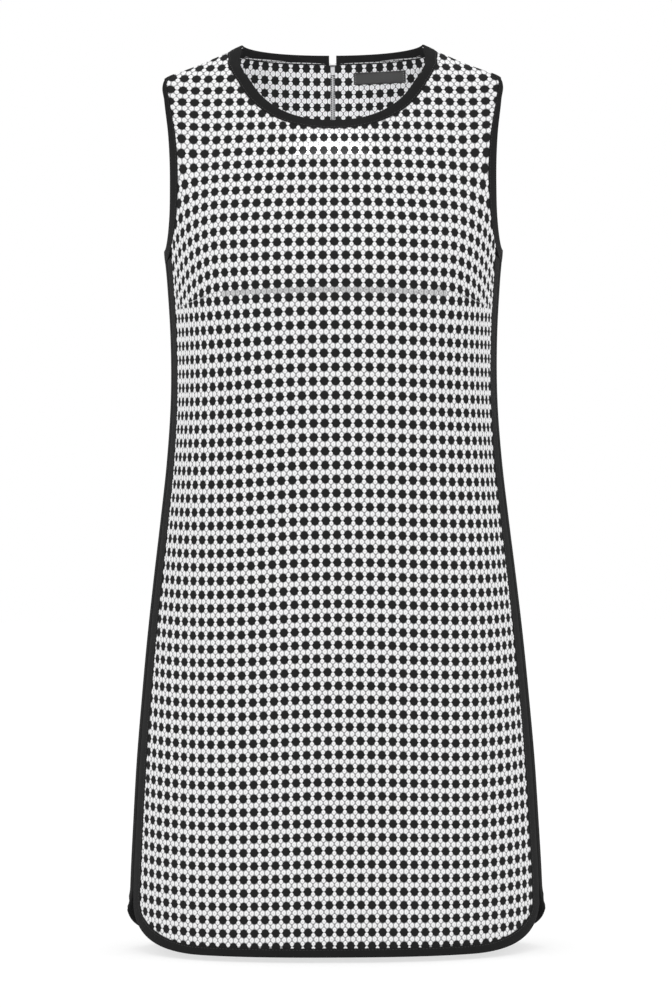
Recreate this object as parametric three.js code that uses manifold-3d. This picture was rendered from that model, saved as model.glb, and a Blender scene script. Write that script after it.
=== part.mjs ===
// A sleeveless A-line shift dress, filled out as if worn: patterned front and back panels with black
// bindings round the neck, armholes, side edges and hem, and a metal zip in the centre back.
// Millimetres, +Z up, the front faces -Y. The origin lies midway between the neck ends of the two
// shoulder seams, where the wearer's shoulders hold the dress.

import * as THREE from 'three';
import { mergeVertices } from 'three/addons/utils/BufferGeometryUtils.js';
import Module from 'manifold-3d';

const wasm = await Module();
wasm.setup();

// ---- driving dimensions ----

const DRESS_LENGTH = 871; // neck point down to the hem
const CLOTH_WALL = 1.5;
const BINDING_WALL = 2.4; // a folded strip over both faces of the edge
const BINDING_WIDTH = 8.5;
const SEAM_GAP = 0.3;

const NECK = { halfWidth: 87, stripAtSide: 11.6, drop: 80, roundness: 2.25, backDrop: 2, shoulderDrop: 5.2 };
const NECK_BULGE = { out: 3.8, depth: 40 }; // how far the neckline bulges outwards below the shoulder
const BACK_NECK_CURVE = 2.5; // the power of the back neckline's rise to the shoulders
const ARMHOLE = { top: -33, bottom: -199, frontReach: 28.5, backReach: 36, lowness: 0.45, shoulderRise: 3.2 };
const UNDERARM_RISE = 0.45; // share of the armhole's own curve
const SIDE = { frontWrap: 10, backWrap: 11 }; // how far the back's side strip wraps each way round the ridge
const ARMHOLE_STRIP = 12.5;
const FRONT_STRIP = 19;
const BACK_STRIP = SIDE.frontWrap + SIDE.backWrap;
const CORNER = { front: { top: -830, width: 106 }, back: { top: -816, width: 112 } }; // round ends of the hem
const VENT = { top: -826, frontTuck: 1, backFlare: 4.5 };
const VENT_SPREAD = { above: 12, over: 45, across: 80 }; // where front and back start to part, and how softly
const ZIP = { top: -13, bottom: -400, mouth: 3.5, edge: 2.3, halfChain: 1.9, tapeWidth: 9, tapeWall: 0.8 };
const ZIP_ENDS = { sliderBelow: 3, chainBelow: 7.2, cutBelow: 2, cutTaper: 6, tapeBelow: 10, tapeTop: -12.5 };
const CHAIN = { low: -1.1, high: 1.5 }; // heights off the cloth's middle
const LABEL = { start: 21, width: 52, top: -18, height: 11, tilt: 0.02, wall: 0.6 };

// Level sections from the neck down. half is the half width at the side ridge, front and back are the
// depths at the centre lines, the rounds are the exponents of the curves, and ridge is how far beyond
// the side ridge the curve would run on (1 would round the side off, more makes it a sharper ridge).
const SECTIONS = [
  { z: 10, half: 65, front: 15, back: 43, frontRound: 1.6, backRound: 2.1, ridge: 1.02 },
  { z: 0, half: 87, front: 21, back: 50, frontRound: 1.6, backRound: 2.1, ridge: 1.02 },
  { z: -7, half: 102, front: 25, back: 53, frontRound: 1.7, backRound: 2.1, ridge: 1.02 },
  { z: -18, half: 127, front: 32, back: 58, frontRound: 1.75, backRound: 2.1, ridge: 1.02 },
  { z: -33, half: 163.5, front: 39, back: 64, frontRound: 1.85, backRound: 2.1, ridge: 1.02 },
  { z: -50, half: 171, front: 45, back: 69, frontRound: 2.0, backRound: 2.1, ridge: 1.025 },
  { z: -90, half: 172, front: 59, back: 77, frontRound: 2.4, backRound: 2.2, ridge: 1.03 },
  { z: -135, half: 170, front: 77, back: 83, frontRound: 2.7, backRound: 2.4, ridge: 1.03 },
  { z: -170, half: 166.5, front: 91, back: 86, frontRound: 2.85, backRound: 2.5, ridge: 1.03 },
  { z: -205, half: 163, front: 103, back: 86, frontRound: 2.9, backRound: 2.5, ridge: 1.03 },
  { z: -232, half: 160.5, front: 108, back: 85, frontRound: 2.9, backRound: 2.5, ridge: 1.03 },
  { z: -286, half: 157.5, front: 107, back: 79, frontRound: 2.9, backRound: 2.5, ridge: 1.03 },
  { z: -344, half: 157.5, front: 102, back: 75, frontRound: 2.9, backRound: 2.5, ridge: 1.03 },
  { z: -403, half: 161.5, front: 99, back: 77, frontRound: 2.9, backRound: 2.5, ridge: 1.035 },
  { z: -461, half: 168, front: 98, back: 84, frontRound: 2.9, backRound: 2.5, ridge: 1.04 },
  { z: -519, half: 175, front: 99, back: 91, frontRound: 2.85, backRound: 2.5, ridge: 1.042 },
  { z: -577, half: 181.5, front: 101, back: 96, frontRound: 2.8, backRound: 2.5, ridge: 1.045 },
  { z: -635, half: 187, front: 103, back: 99, frontRound: 2.8, backRound: 2.5, ridge: 1.05 },
  { z: -694, half: 192, front: 105, back: 101, frontRound: 2.7, backRound: 2.5, ridge: 1.053 },
  { z: -752, half: 195.5, front: 107, back: 103, frontRound: 2.7, backRound: 2.5, ridge: 1.056 },
  { z: -810, half: 198.5, front: 109, back: 105, frontRound: 2.65, backRound: 2.5, ridge: 1.06 },
  { z: -900, half: 201, front: 112, back: 108, frontRound: 2.6, backRound: 2.5, ridge: 1.06 },
];

const PIECE_COLOURS = { cloth: 0x9b9b9b, binding: 0x1b1b1d, metal: 0x9a9ca0, label: 0x161616 };

function finish(colour, roughness, metalness = 0) {
  return new THREE.MeshStandardMaterial({ color: colour, roughness, metalness });
}

const CLOTH = finish(PIECE_COLOURS.cloth, 0.85);
const BINDING = finish(PIECE_COLOURS.binding, 0.75);
const METAL = finish(PIECE_COLOURS.metal, 0.35, 1);
const LABEL_CLOTH = finish(PIECE_COLOURS.label, 0.6);

// ---- the skin of the filled dress ----

// A column of the section table at height z, as a smooth curve through its rows.
function column(key, z) {
  const last = SECTIONS.length - 2;
  let i = 0;
  while (i < last && z < SECTIONS[i + 1].z) i += 1;
  const slope = (k) => {
    const above = SECTIONS[Math.max(k - 1, 0)];
    const below = SECTIONS[Math.min(k + 1, SECTIONS.length - 1)];
    return (below[key] - above[key]) / (below.z - above.z);
  };
  const [p, q] = [SECTIONS[i], SECTIONS[i + 1]];
  const step = q.z - p.z;
  const f = (z - p.z) / step;
  const bend = f * f * (3 - 2 * f);
  const lead = step * (f * (1 - f) * (1 - f) * slope(i) - f * f * (1 - f) * slope(i + 1));
  return p[key] + (q[key] - p[key]) * bend + lead;
}

// Half of a level section from a centre line to the side ridge, as points with their arc lengths.
const halfSections = new Map();
const SECTION_STEPS = 64;

function halfSection(face, z) {
  const key = `${face}${z.toFixed(4)}`;
  if (halfSections.has(key)) return halfSections.get(key);
  const half = column('half', z);
  const depth = column(face, z);
  const round = column(`${face}Round`, z);
  const ridge = column('ridge', z);
  const past = (1 - ridge ** -round) ** (1 / round);
  const reach = depth / (1 - past);
  const points = [];
  let arc = 0;
  for (let i = 0; i <= SECTION_STEPS; i += 1) {
    const x = half * Math.sin((Math.PI / 2) * (i / SECTION_STEPS));
    const y = reach * ((1 - (x / (half * ridge)) ** round) ** (1 / round) - past);
    if (i > 0) arc += Math.hypot(x - points[i - 1].x, y - points[i - 1].y);
    points.push({ arc, x, y });
  }
  const section = { points, length: arc };
  halfSections.set(key, section);
  return section;
}

// The value of one field of a half section where another field has the given value.
function along(section, from, value, to) {
  const { points } = section;
  let i = 1;
  while (i < points.length - 1 && points[i][from] < value) i += 1;
  const [p, q] = [points[i - 1], points[i]];
  const f = (value - p[from]) / (q[from] - p[from]);
  return p[to] + (q[to] - p[to]) * f;
}

const frontArc = (z) => halfSection('front', z).length;
const backArc = (z) => halfSection('back', z).length;

const clamp01 = (f) => Math.min(Math.max(f, 0), 1);
const ease = (f) => clamp01(f) ** 2 * (3 - 2 * clamp01(f));

// A point of the skin. side is 1 or -1, t is the way round from that side's ridge, less than 0 on the
// front. layer is the layer the point belongs to, since front and back part at the vents.
function skin(side, t, z, layer) {
  const face = t <= 0 ? 'front' : 'back';
  const section = halfSection(face, z);
  const arc = section.length - Math.abs(t);
  const x = Math.sign(arc || 1) * along(section, 'arc', Math.abs(arc), 'x');
  const y = along(section, 'arc', Math.abs(arc), 'y') * (face === 'front' ? -1 : 1);
  const parting = ease((VENT.top + VENT_SPREAD.above - z) / VENT_SPREAD.over);
  const spread = parting * ease(1 - Math.abs(t) / VENT_SPREAD.across);
  const push = layer === 'back' ? VENT.backFlare : -VENT.frontTuck;
  return new THREE.Vector3(side * (x + push * spread), y, z);
}

// The point lifted off the skin by a height, outwards.
function lifted(side, t, z, layer, height) {
  const reach = 2.5;
  const share = (dz) => {
    const arcs = t <= 0 ? frontArc : backArc;
    return t * (arcs(z + dz) / arcs(z));
  };
  const round = skin(side, t + reach, z, layer).sub(skin(side, t - reach, z, layer));
  const down = skin(side, share(-reach), z - reach, layer).sub(skin(side, share(reach), z + reach, layer));
  const normal = round.cross(down).normalize().multiplyScalar(-side);
  return skin(side, t, z, layer).addScaledVector(normal, height);
}

// The same point from cloth coordinates: u is the way round from the centre line of the face.
function onCloth(face, u, z, height) {
  const side = u < 0 ? -1 : 1;
  const t = face === 'front' ? Math.abs(u) - frontArc(z) : backArc(z) - Math.abs(u);
  return lifted(side, t, z, face, height);
}

// ---- edges, as lists of {t, z} from a side ridge or {u, z} from a centre line ----

// The front neckline as a curve seen from the front, grown by a width into the cloth.
function neckEdge(grow, steps = 22) {
  const share = grow / BINDING_WIDTH;
  const halfWidth = NECK.halfWidth + NECK.stripAtSide * share;
  const drop = NECK.drop + grow;
  const points = [];
  for (let i = 0; i <= steps; i += 1) {
    const angle = (Math.PI / 2) * (i / steps);
    const z = -drop * Math.cos(angle) ** (2 / NECK.roundness);
    const lowest = -NECK.shoulderDrop * share;
    const height = Math.min(z, lowest);
    const bulge = NECK_BULGE.out * Math.sin(Math.PI * clamp01(-height / NECK_BULGE.depth));
    const x = halfWidth * Math.sin(angle) ** (2 / NECK.roundness) + bulge;
    const section = halfSection('front', height);
    const onRidge = i === steps || x >= column('half', height);
    points.push({ u: onRidge ? section.length : along(section, 'x', x, 'arc'), z: height });
  }
  return points;
}

// The armhole's edge, grown by a width into the cloth, from the shoulder down to the underarm.
function armholeEdge(face, grow, steps = 20) {
  const reach = (face === 'front' ? ARMHOLE.frontReach : ARMHOLE.backReach) + grow;
  const top = ARMHOLE.top + (ARMHOLE.shoulderRise * grow) / BINDING_WIDTH;
  const bottom = ARMHOLE.bottom - grow;
  const points = [];
  for (let i = 0; i <= steps; i += 1) {
    const angle = Math.PI * (i / steps);
    const z = top + ((bottom - top) * (1 - Math.cos(angle))) / 2;
    const wide = reach * Math.sin(angle) * (1 - ARMHOLE.lowness * Math.cos(angle));
    points.push({ t: face === 'front' ? -wide : wide, z });
  }
  return points;
}

// The height where a side edge meets the armhole's strip, a little flatter than the armhole's curve.
function underarm(t) {
  const reach = (t < 0 ? ARMHOLE.frontReach : ARMHOLE.backReach) + ARMHOLE_STRIP;
  const height = ARMHOLE.top - ARMHOLE.bottom + ARMHOLE_STRIP;
  const rise = UNDERARM_RISE * (height / 4) * (t / (reach * (1 + ARMHOLE.lowness))) ** 2;
  return ARMHOLE.bottom - ARMHOLE_STRIP - SEAM_GAP + rise;
}

// A side and hem edge from the underarm down to the centre of the hem. start is where the side edge
// runs, width the strip's width there, which narrows to the hem strip's width round the corner.
function sideAndHemEdge(face, start, grow, growAtHem) {
  const sign = face === 'front' ? -1 : 1;
  const arcs = face === 'front' ? frontArc : backArc;
  const points = [];
  const sideSteps = 20;
  const top = underarm(start + sign * grow);
  const corner = CORNER[face];
  for (let i = 0; i < sideSteps; i += 1) {
    points.push({ t: start + sign * grow, z: top + ((corner.top - top) * i) / sideSteps });
  }
  const cornerSteps = 9;
  const drop = corner.top + DRESS_LENGTH;
  for (let i = 0; i <= cornerSteps; i += 1) {
    const angle = (Math.PI / 2) * (i / cornerSteps);
    const width = grow + (growAtHem - grow) * ease(i / cornerSteps);
    const across = width + (corner.width - width) * (1 - Math.cos(angle));
    const down = (drop - width) * Math.sin(angle);
    points.push({ t: start + sign * across, z: corner.top - down });
  }
  const hemSteps = 10;
  const low = -DRESS_LENGTH + growAtHem;
  const from = arcs(low) - Math.abs(points.at(-1).t);
  for (let i = 1; i <= hemSteps; i += 1) {
    const u = from * (1 - i / hemSteps);
    points.push({ t: sign * (arcs(low) - u), z: low });
  }
  return points;
}

// ---- solids ----

function indexed(positions, triangles) {
  const geometry = new THREE.BufferGeometry();
  geometry.setAttribute('position', new THREE.Float32BufferAttribute(positions, 3));
  geometry.setIndex(triangles);
  return geometry;
}

function toSolid(geometry) {
  const bare = geometry.clone();
  bare.deleteAttribute('normal');
  bare.deleteAttribute('uv');
  const merged = mergeVertices(bare, 1e-4);
  return new wasm.Manifold(new wasm.Mesh({
    numProp: 3,
    vertProperties: new Float32Array(merged.attributes.position.array),
    triVerts: new Uint32Array(merged.index.array),
  }));
}

function toGeometry(solid, place) {
  const mesh = solid.getMesh();
  const positions = [];
  for (let i = 0; i < mesh.vertProperties.length; i += mesh.numProp) {
    const point = place(...mesh.vertProperties.slice(i, i + 3));
    positions.push(point.x, point.y, point.z);
  }
  return indexed(positions, Array.from(mesh.triVerts));
}

// A closed geometry with its faces turned outwards, whichever way its lists ran.
function facingOut(geometry) {
  if (toSolid(geometry).volume() >= 0) return geometry;
  const order = Array.from(geometry.index.array);
  for (let i = 0; i < order.length; i += 3) [order[i], order[i + 1]] = [order[i + 1], order[i]];
  geometry.setIndex(order);
  return geometry;
}

function named(name, geometry, material) {
  geometry.computeVertexNormals();
  const mesh = new THREE.Mesh(geometry, material);
  mesh.name = name;
  return mesh;
}

// Lines of the cloth grid across and down, closer together where the skin turns quickly.
const TAPE_EDGE = ZIP.edge + ZIP.tapeWidth;
const LABEL_END = LABEL.start + LABEL.width;
const GRID_ACROSS = [0, TAPE_EDGE, LABEL.start, 47, LABEL_END, 94, 114, 134, 152, 168, 184, 200, 218, 240];
const GRID_DOWN = [14, -6, LABEL.top, LABEL.top - LABEL.height, -42, -60, -82, -108, -134, -160, -186, -212,
  -238, -266, -298, -334, -372, -410, -454, -502, -550, -598, -646, -694, -742, -786, -822, -848, -884];

// The small dome that keeps the flat grid's lines through a cut. It is taken off again afterwards.
const dome = (u, z) => 3 * ((u / 240) ** 2 + (z / 900) ** 2);

// A flat slab of cloth in cloth coordinates, cut to an outline and laid on the skin.
function clothPiece(face, outline) {
  const across = [...GRID_ACROSS.slice(1).reverse().map((u) => -u), ...GRID_ACROSS];
  const columns = across.length;
  const positions = [];
  for (const layer of [CLOTH_WALL / 2, -CLOTH_WALL / 2]) {
    for (const z of GRID_DOWN) {
      for (const u of across) positions.push(u, z, layer + dome(u, z));
    }
  }
  const under = columns * GRID_DOWN.length;
  const triangles = [];
  const square = (a, b, c, d) => triangles.push(a, b, c, a, c, d);
  for (let row = 0; row < GRID_DOWN.length - 1; row += 1) {
    for (let i = 0; i < columns - 1; i += 1) {
      const a = row * columns + i;
      square(a, a + columns, a + columns + 1, a + 1);
      square(under + a, under + a + 1, under + a + columns + 1, under + a + columns);
    }
  }
  const rim = [];
  for (let i = 0; i < columns - 1; i += 1) rim.push(i);
  for (let row = 0; row < GRID_DOWN.length - 1; row += 1) rim.push(row * columns + columns - 1);
  for (let i = columns - 1; i > 0; i -= 1) rim.push(under - columns + i);
  for (let row = GRID_DOWN.length - 1; row > 0; row -= 1) rim.push(row * columns);
  rim.forEach((a, i) => {
    const b = rim[(i + 1) % rim.length];
    square(a, b, under + b, under + a);
  });
  const slab = toSolid(indexed(positions, triangles));
  const shape = new THREE.Shape(outline.map((p) => new THREE.Vector2(p.u, p.z)));
  const prism = new THREE.ExtrudeGeometry(shape, { depth: 40, bevelEnabled: false });
  prism.translate(0, 0, -20);
  const cut = slab.intersect(toSolid(prism));
  return facingOut(toGeometry(cut, (u, z, height) => onCloth(face, u, z, height - dome(u, z))));
}

// A strip through stations, each a ring of points in order round its section.
function strip(stations, closed = false) {
  const sides = stations[0].length;
  const positions = stations.flat().flatMap((p) => [p.x, p.y, p.z]);
  const triangles = [];
  const last = closed ? stations.length : stations.length - 1;
  for (let i = 0; i < last; i += 1) {
    for (let k = 0; k < sides; k += 1) {
      const a = i * sides + k;
      const b = i * sides + ((k + 1) % sides);
      const c = ((i + 1) % stations.length) * sides + ((k + 1) % sides);
      const d = ((i + 1) % stations.length) * sides + k;
      triangles.push(a, b, c, a, c, d);
    }
  }
  if (!closed) {
    const end = (stations.length - 1) * sides;
    for (let k = 1; k < sides - 1; k += 1) {
      triangles.push(0, k + 1, k);
      triangles.push(end, end + k, end + k + 1);
    }
  }
  return facingOut(indexed(positions, triangles));
}

// A station of a flat strip between two places, low to high off the skin.
function slabStation(outer, inner, low, high) {
  return [outer(low), inner(low), inner(high), outer(high)];
}

const HALF_BINDING = BINDING_WALL / 2;
const atRidge = (side, point, layer) => (height) => lifted(side, point.t, point.z, layer, height);
const atCentre = (face, point, sign = 1) => (height) => onCloth(face, sign * point.u, point.z, height);

const mirrored = (points) => points.map((p) => ({ ...p, u: -p.u })).reverse();

// ---- panels ----

// Cloth coordinates of an edge given from the side ridge.
function fromCentre(face, points) {
  const arcs = face === 'front' ? frontArc : backArc;
  return points.map((p) => ({ u: arcs(p.z) - Math.abs(p.t), z: p.z }));
}

// The shoulder seam's edge between the neck strip and the armhole strip.
function shoulderEdge(face, from, to, steps = 6) {
  const arcs = face === 'front' ? frontArc : backArc;
  const points = [];
  for (let i = 0; i <= steps; i += 1) {
    const z = from + ((to - from) * i) / steps;
    points.push({ u: arcs(z) - SEAM_GAP / 2, z });
  }
  return points;
}

function halfOutline(face, neck, sideStart, sideWidth) {
  const inset = BINDING_WIDTH + SEAM_GAP;
  const armhole = armholeEdge(face, ARMHOLE_STRIP + SEAM_GAP);
  const side = sideAndHemEdge(face, sideStart, sideWidth + SEAM_GAP, inset);
  const sideT = Math.abs(side[0].t);
  const meets = armhole.filter((p, i) => i > 0 && !(p.z < ARMHOLE.bottom && Math.abs(p.t) < sideT + 2));
  const shoulder = shoulderEdge(face, neck.at(-1).z - SEAM_GAP, armhole[0].z + SEAM_GAP);
  return [...neck.slice(0, -1), ...shoulder, ...fromCentre(face, meets), ...fromCentre(face, side)];
}

function frontPanel() {
  const start = -SIDE.frontWrap - SEAM_GAP;
  const neck = neckEdge(BINDING_WIDTH + SEAM_GAP);
  const half = halfOutline('front', neck, start, FRONT_STRIP);
  const outline = [...half.slice(0, -1), ...mirrored(half).slice(0, -1)];
  return named('front_panel', clothPiece('front', outline), CLOTH);
}

function backPanel(name, sign) {
  const backNeck = -NECK.backDrop - BINDING_WIDTH - SEAM_GAP;
  const neckEnd = -NECK.shoulderDrop - SEAM_GAP * 2;
  const arc = backArc(neckEnd);
  const neck = [];
  const steps = 10;
  for (let i = 0; i <= steps; i += 1) {
    const f = i / steps;
    const z = backNeck + (neckEnd - backNeck) * f ** BACK_NECK_CURVE;
    neck.push({ u: ZIP.mouth + (arc - ZIP.mouth) * f, z });
  }
  const half = halfOutline('back', neck, -SIDE.frontWrap, BACK_STRIP);
  const centre = [
    { u: SEAM_GAP / 2, z: half.at(-1).z },
    { u: SEAM_GAP / 2, z: ZIP.bottom - ZIP_ENDS.cutBelow - ZIP_ENDS.cutTaper },
    { u: ZIP.edge, z: ZIP.bottom - ZIP_ENDS.cutBelow },
    { u: ZIP.edge, z: ZIP.top - ZIP_ENDS.chainBelow },
  ];
  const outline = [...half.slice(0, -1), ...centre].map((p) => ({ u: sign * p.u, z: p.z }));
  return named(name, clothPiece('back', sign > 0 ? outline : outline.reverse()), CLOTH);
}

// ---- bindings ----

function neckBinding() {
  const outer = neckEdge(BINDING_WIDTH);
  const inner = neckEdge(0);
  const front = inner.map((p, i) => (sign) => slabStation(
    atCentre('front', p, sign), atCentre('front', outer[i], sign), -HALF_BINDING, HALF_BINDING));
  const steps = 12;
  const back = [];
  for (let i = 1; i <= steps; i += 1) {
    const f = 1 - i / steps;
    const dip = 1 - f ** BACK_NECK_CURVE;
    const top = -NECK.backDrop * dip;
    const low = -NECK.shoulderDrop + (-NECK.backDrop - BINDING_WIDTH + NECK.shoulderDrop) * dip;
    const at = (z) => ({ u: ZIP.mouth + (backArc(z) - ZIP.mouth) * f, z });
    back.push((sign) => slabStation(
      atCentre('back', at(top), sign), atCentre('back', at(low), sign), -HALF_BINDING, HALF_BINDING));
  }
  const right = [...front, ...back].map((station) => station(1));
  const left = [...front, ...back].slice(1).map((station) => station(-1)).reverse();
  return named('neck_binding', strip([...left, ...right]), BINDING);
}

function armholeBinding(name, side) {
  const stations = [];
  for (const face of ['front', 'back']) {
    const outer = armholeEdge(face, ARMHOLE_STRIP);
    const inner = armholeEdge(face, 0);
    const ring = inner.map((p, i) => slabStation(
      atRidge(side, p, face), atRidge(side, outer[i], face), -HALF_BINDING, HALF_BINDING));
    stations.push(...(face === 'front' ? ring : ring.slice(1, -1).reverse()));
  }
  return named(name, strip(stations, true), BINDING);
}

// A strip down one side, round the hem corners and up the other side.
function edgeBinding(name, face, start, sideWidth, middles) {
  const edges = [0, ...middles, 1].map((f) =>
    sideAndHemEdge(face, start, f * sideWidth, f * BINDING_WIDTH));
  const stations = (side) => edges[0].map((_, i) => {
    const at = edges.map((edge) => atRidge(side, edge[i], face));
    return [...at.map((p) => p(-HALF_BINDING)), ...at.map((p) => p(HALF_BINDING)).reverse()];
  });
  const right = stations(1);
  const left = stations(-1).slice(0, -1);
  return named(name, strip([...left, ...right.reverse()]), BINDING);
}

// ---- zip ----

// A strip down the centre back, bent at the same heights as the cloth that it lies on.
function zipStrip(name, material, from, to, top, bottom, low, high) {
  const heights = [top, ...GRID_DOWN.filter((z) => z < top - 1 && z > bottom + 1), bottom];
  const stations = heights.map((z) => slabStation(
    (h) => onCloth('back', from, z, h), (h) => onCloth('back', to, z, h), low, high));
  return named(name, strip(stations), material);
}

function zipTape(name, sign) {
  const low = CLOTH_WALL / 2 + SEAM_GAP;
  const edges = [sign * (ZIP.halfChain + SEAM_GAP), sign * TAPE_EDGE];
  const bottom = ZIP.bottom - ZIP_ENDS.tapeBelow;
  return zipStrip(name, BINDING, ...edges, ZIP_ENDS.tapeTop, bottom, low, low + ZIP.tapeWall);
}

function zipChain() {
  const top = ZIP.top - ZIP_ENDS.chainBelow;
  const half = ZIP.halfChain;
  return zipStrip('zip_chain', METAL, -half, half, top, ZIP.bottom, CHAIN.low, CHAIN.high);
}

// The slider and pull stand in a frame on the zip: x across, y down along it, z off the cloth.
const SLIDER = { length: 10, width: 7, coreWidth: 3.6, coreInset: 1, below: -1.4, plate: 2.2, top: 3.9 };
const BRIDGE = { width: 1.6, length: 6, above: 1.9, hole: 3, holeAbove: 1.1 }; // the arch that holds the pull
const PULL = { axis: 5.0, barRadius: 0.6, barWidth: 4.6, arm: 5.2, armWidth: 1.1, armFrom: 1.75,
  length: 27, width: 6.4, neck: 4.6, shoulder: 3, wall: 1.1 };
const WELD = 0.2; // how far joined bits of one metal piece run into each other

function box(width, length, low, high, x = 0, y = 0) {
  const geometry = new THREE.BoxGeometry(width, length, high - low);
  geometry.translate(x, y, (low + high) / 2);
  return toSolid(geometry);
}

function shieldPlate() {
  const shape = new THREE.Shape();
  shape.moveTo(-SLIDER.width / 2, SLIDER.length / 2);
  shape.lineTo(SLIDER.width / 2, SLIDER.length / 2);
  shape.lineTo(SLIDER.width / 2, -SLIDER.coreInset);
  shape.absarc(0, -SLIDER.coreInset, SLIDER.width / 2, 0, -Math.PI, true);
  const geometry = new THREE.ExtrudeGeometry(shape, {
    depth: SLIDER.top - SLIDER.plate, bevelEnabled: false, curveSegments: 8 });
  geometry.translate(0, 0, SLIDER.plate);
  return toSolid(geometry);
}

function zipSlider() {
  const core = box(SLIDER.coreWidth, SLIDER.length - 2 * SLIDER.coreInset, SLIDER.below, SLIDER.plate + WELD);
  const bridge = box(BRIDGE.width, BRIDGE.length, SLIDER.top - WELD, PULL.axis + BRIDGE.above)
    .subtract(box(BRIDGE.hole, BRIDGE.hole, SLIDER.top, PULL.axis + BRIDGE.holeAbove));
  const solid = shieldPlate().add(core).add(bridge);
  return named('zip_slider', toGeometry(solid, (x, y, z) => new THREE.Vector3(x, y, z)), METAL);
}

function zipPull() {
  const bar = new THREE.CylinderGeometry(PULL.barRadius, PULL.barRadius, PULL.barWidth, 12);
  bar.rotateZ(Math.PI / 2);
  let solid = toSolid(bar);
  for (const sign of [-1, 1]) {
    const length = PULL.arm + PULL.barRadius;
    const from = sign * PULL.armFrom;
    solid = solid.add(box(PULL.armWidth, length, -PULL.wall / 2, PULL.wall / 2, from, -PULL.arm / 2));
  }
  const tab = new THREE.Shape();
  const [half, start, end] = [PULL.width / 2, -PULL.arm + 2 * WELD, -PULL.length];
  tab.moveTo(-PULL.neck / 2, start);
  tab.lineTo(-half, start - PULL.shoulder);
  tab.lineTo(-half, end + half);
  tab.absarc(0, end + half, half, Math.PI, 2 * Math.PI, false);
  tab.lineTo(half, start - PULL.shoulder);
  tab.lineTo(PULL.neck / 2, start);
  const plate = new THREE.ExtrudeGeometry(tab, { depth: PULL.wall, bevelEnabled: false, curveSegments: 8 });
  plate.translate(0, 0, -PULL.wall / 2);
  solid = solid.add(toSolid(plate));
  const mesh = named('zip_pull', toGeometry(solid, (x, y, z) => new THREE.Vector3(x, y, z)), METAL);
  mesh.position.z = PULL.axis;
  return mesh;
}

function sliderGroup() {
  const z = ZIP.top - ZIP_ENDS.sliderBelow;
  const seat = onCloth('back', 0, z, 0);
  const off = onCloth('back', 0, z, 1).sub(seat).normalize();
  const across = new THREE.Vector3(-1, 0, 0);
  const up = off.clone().cross(across).normalize();
  const group = new THREE.Group();
  group.position.copy(seat);
  group.quaternion.setFromRotationMatrix(new THREE.Matrix4().makeBasis(across, up, off));
  group.add(zipSlider(), zipPull());
  return group;
}

// ---- label ----

function label() {
  const high = -CLOTH_WALL / 2 - SEAM_GAP;
  const stations = GRID_ACROSS.filter((u) => u >= LABEL.start && u <= LABEL_END).map((u) => {
    const top = LABEL.top + LABEL.tilt * (u - LABEL.start);
    return slabStation(
      (h) => onCloth('back', u, top, h), (h) => onCloth('back', u, top - LABEL.height, h),
      high - LABEL.wall, high);
  });
  return named('label', strip(stations), LABEL_CLOTH);
}

// ---- the dress ----

const dress = new THREE.Group();
dress.add(
  frontPanel(),
  backPanel('back_panel_left', -1),
  backPanel('back_panel_right', 1),
  neckBinding(),
  armholeBinding('armhole_binding_left', -1),
  armholeBinding('armhole_binding_right', 1),
  edgeBinding('front_edge_binding', 'front', -SIDE.frontWrap - SEAM_GAP, FRONT_STRIP, [0.5]),
  edgeBinding('back_edge_binding', 'back', -SIDE.frontWrap, BACK_STRIP, [SIDE.frontWrap / BACK_STRIP]),
  zipTape('zip_tape_left', -1),
  zipTape('zip_tape_right', 1),
  zipChain(),
  sliderGroup(),
  label(),
);

export default dress;
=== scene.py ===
import math

import bmesh
import bpy
import numpy as np
from mathutils import Matrix, Vector


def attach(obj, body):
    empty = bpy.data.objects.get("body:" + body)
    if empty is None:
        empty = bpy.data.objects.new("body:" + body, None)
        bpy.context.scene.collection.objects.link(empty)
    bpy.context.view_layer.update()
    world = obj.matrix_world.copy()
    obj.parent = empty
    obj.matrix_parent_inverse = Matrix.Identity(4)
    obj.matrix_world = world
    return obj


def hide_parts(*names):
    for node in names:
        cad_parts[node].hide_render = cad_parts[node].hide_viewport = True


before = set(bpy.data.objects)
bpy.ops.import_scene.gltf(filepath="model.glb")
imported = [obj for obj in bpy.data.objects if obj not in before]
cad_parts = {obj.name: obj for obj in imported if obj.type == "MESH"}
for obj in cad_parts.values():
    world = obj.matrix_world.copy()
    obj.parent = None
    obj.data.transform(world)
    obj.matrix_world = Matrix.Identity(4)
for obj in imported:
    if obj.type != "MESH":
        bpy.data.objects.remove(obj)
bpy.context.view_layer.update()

# Sizes are in millimetres, and a mesh is made in metres. The front faces -Y and +Z is up. A place on the
# dress is given by its height z and its way round: u from the centre line of a face, or t from a side
# ridge, less than 0 on the front.
MM = 0.001

DRESS_LENGTH = 871
CLOTH_WALL = 1.5
BINDING_WALL = 2.4
BINDING_WIDTH = 8.5
SEAM_GAP = 0.3
TUCK = 2.0  # how far a panel runs in under its bindings

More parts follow.
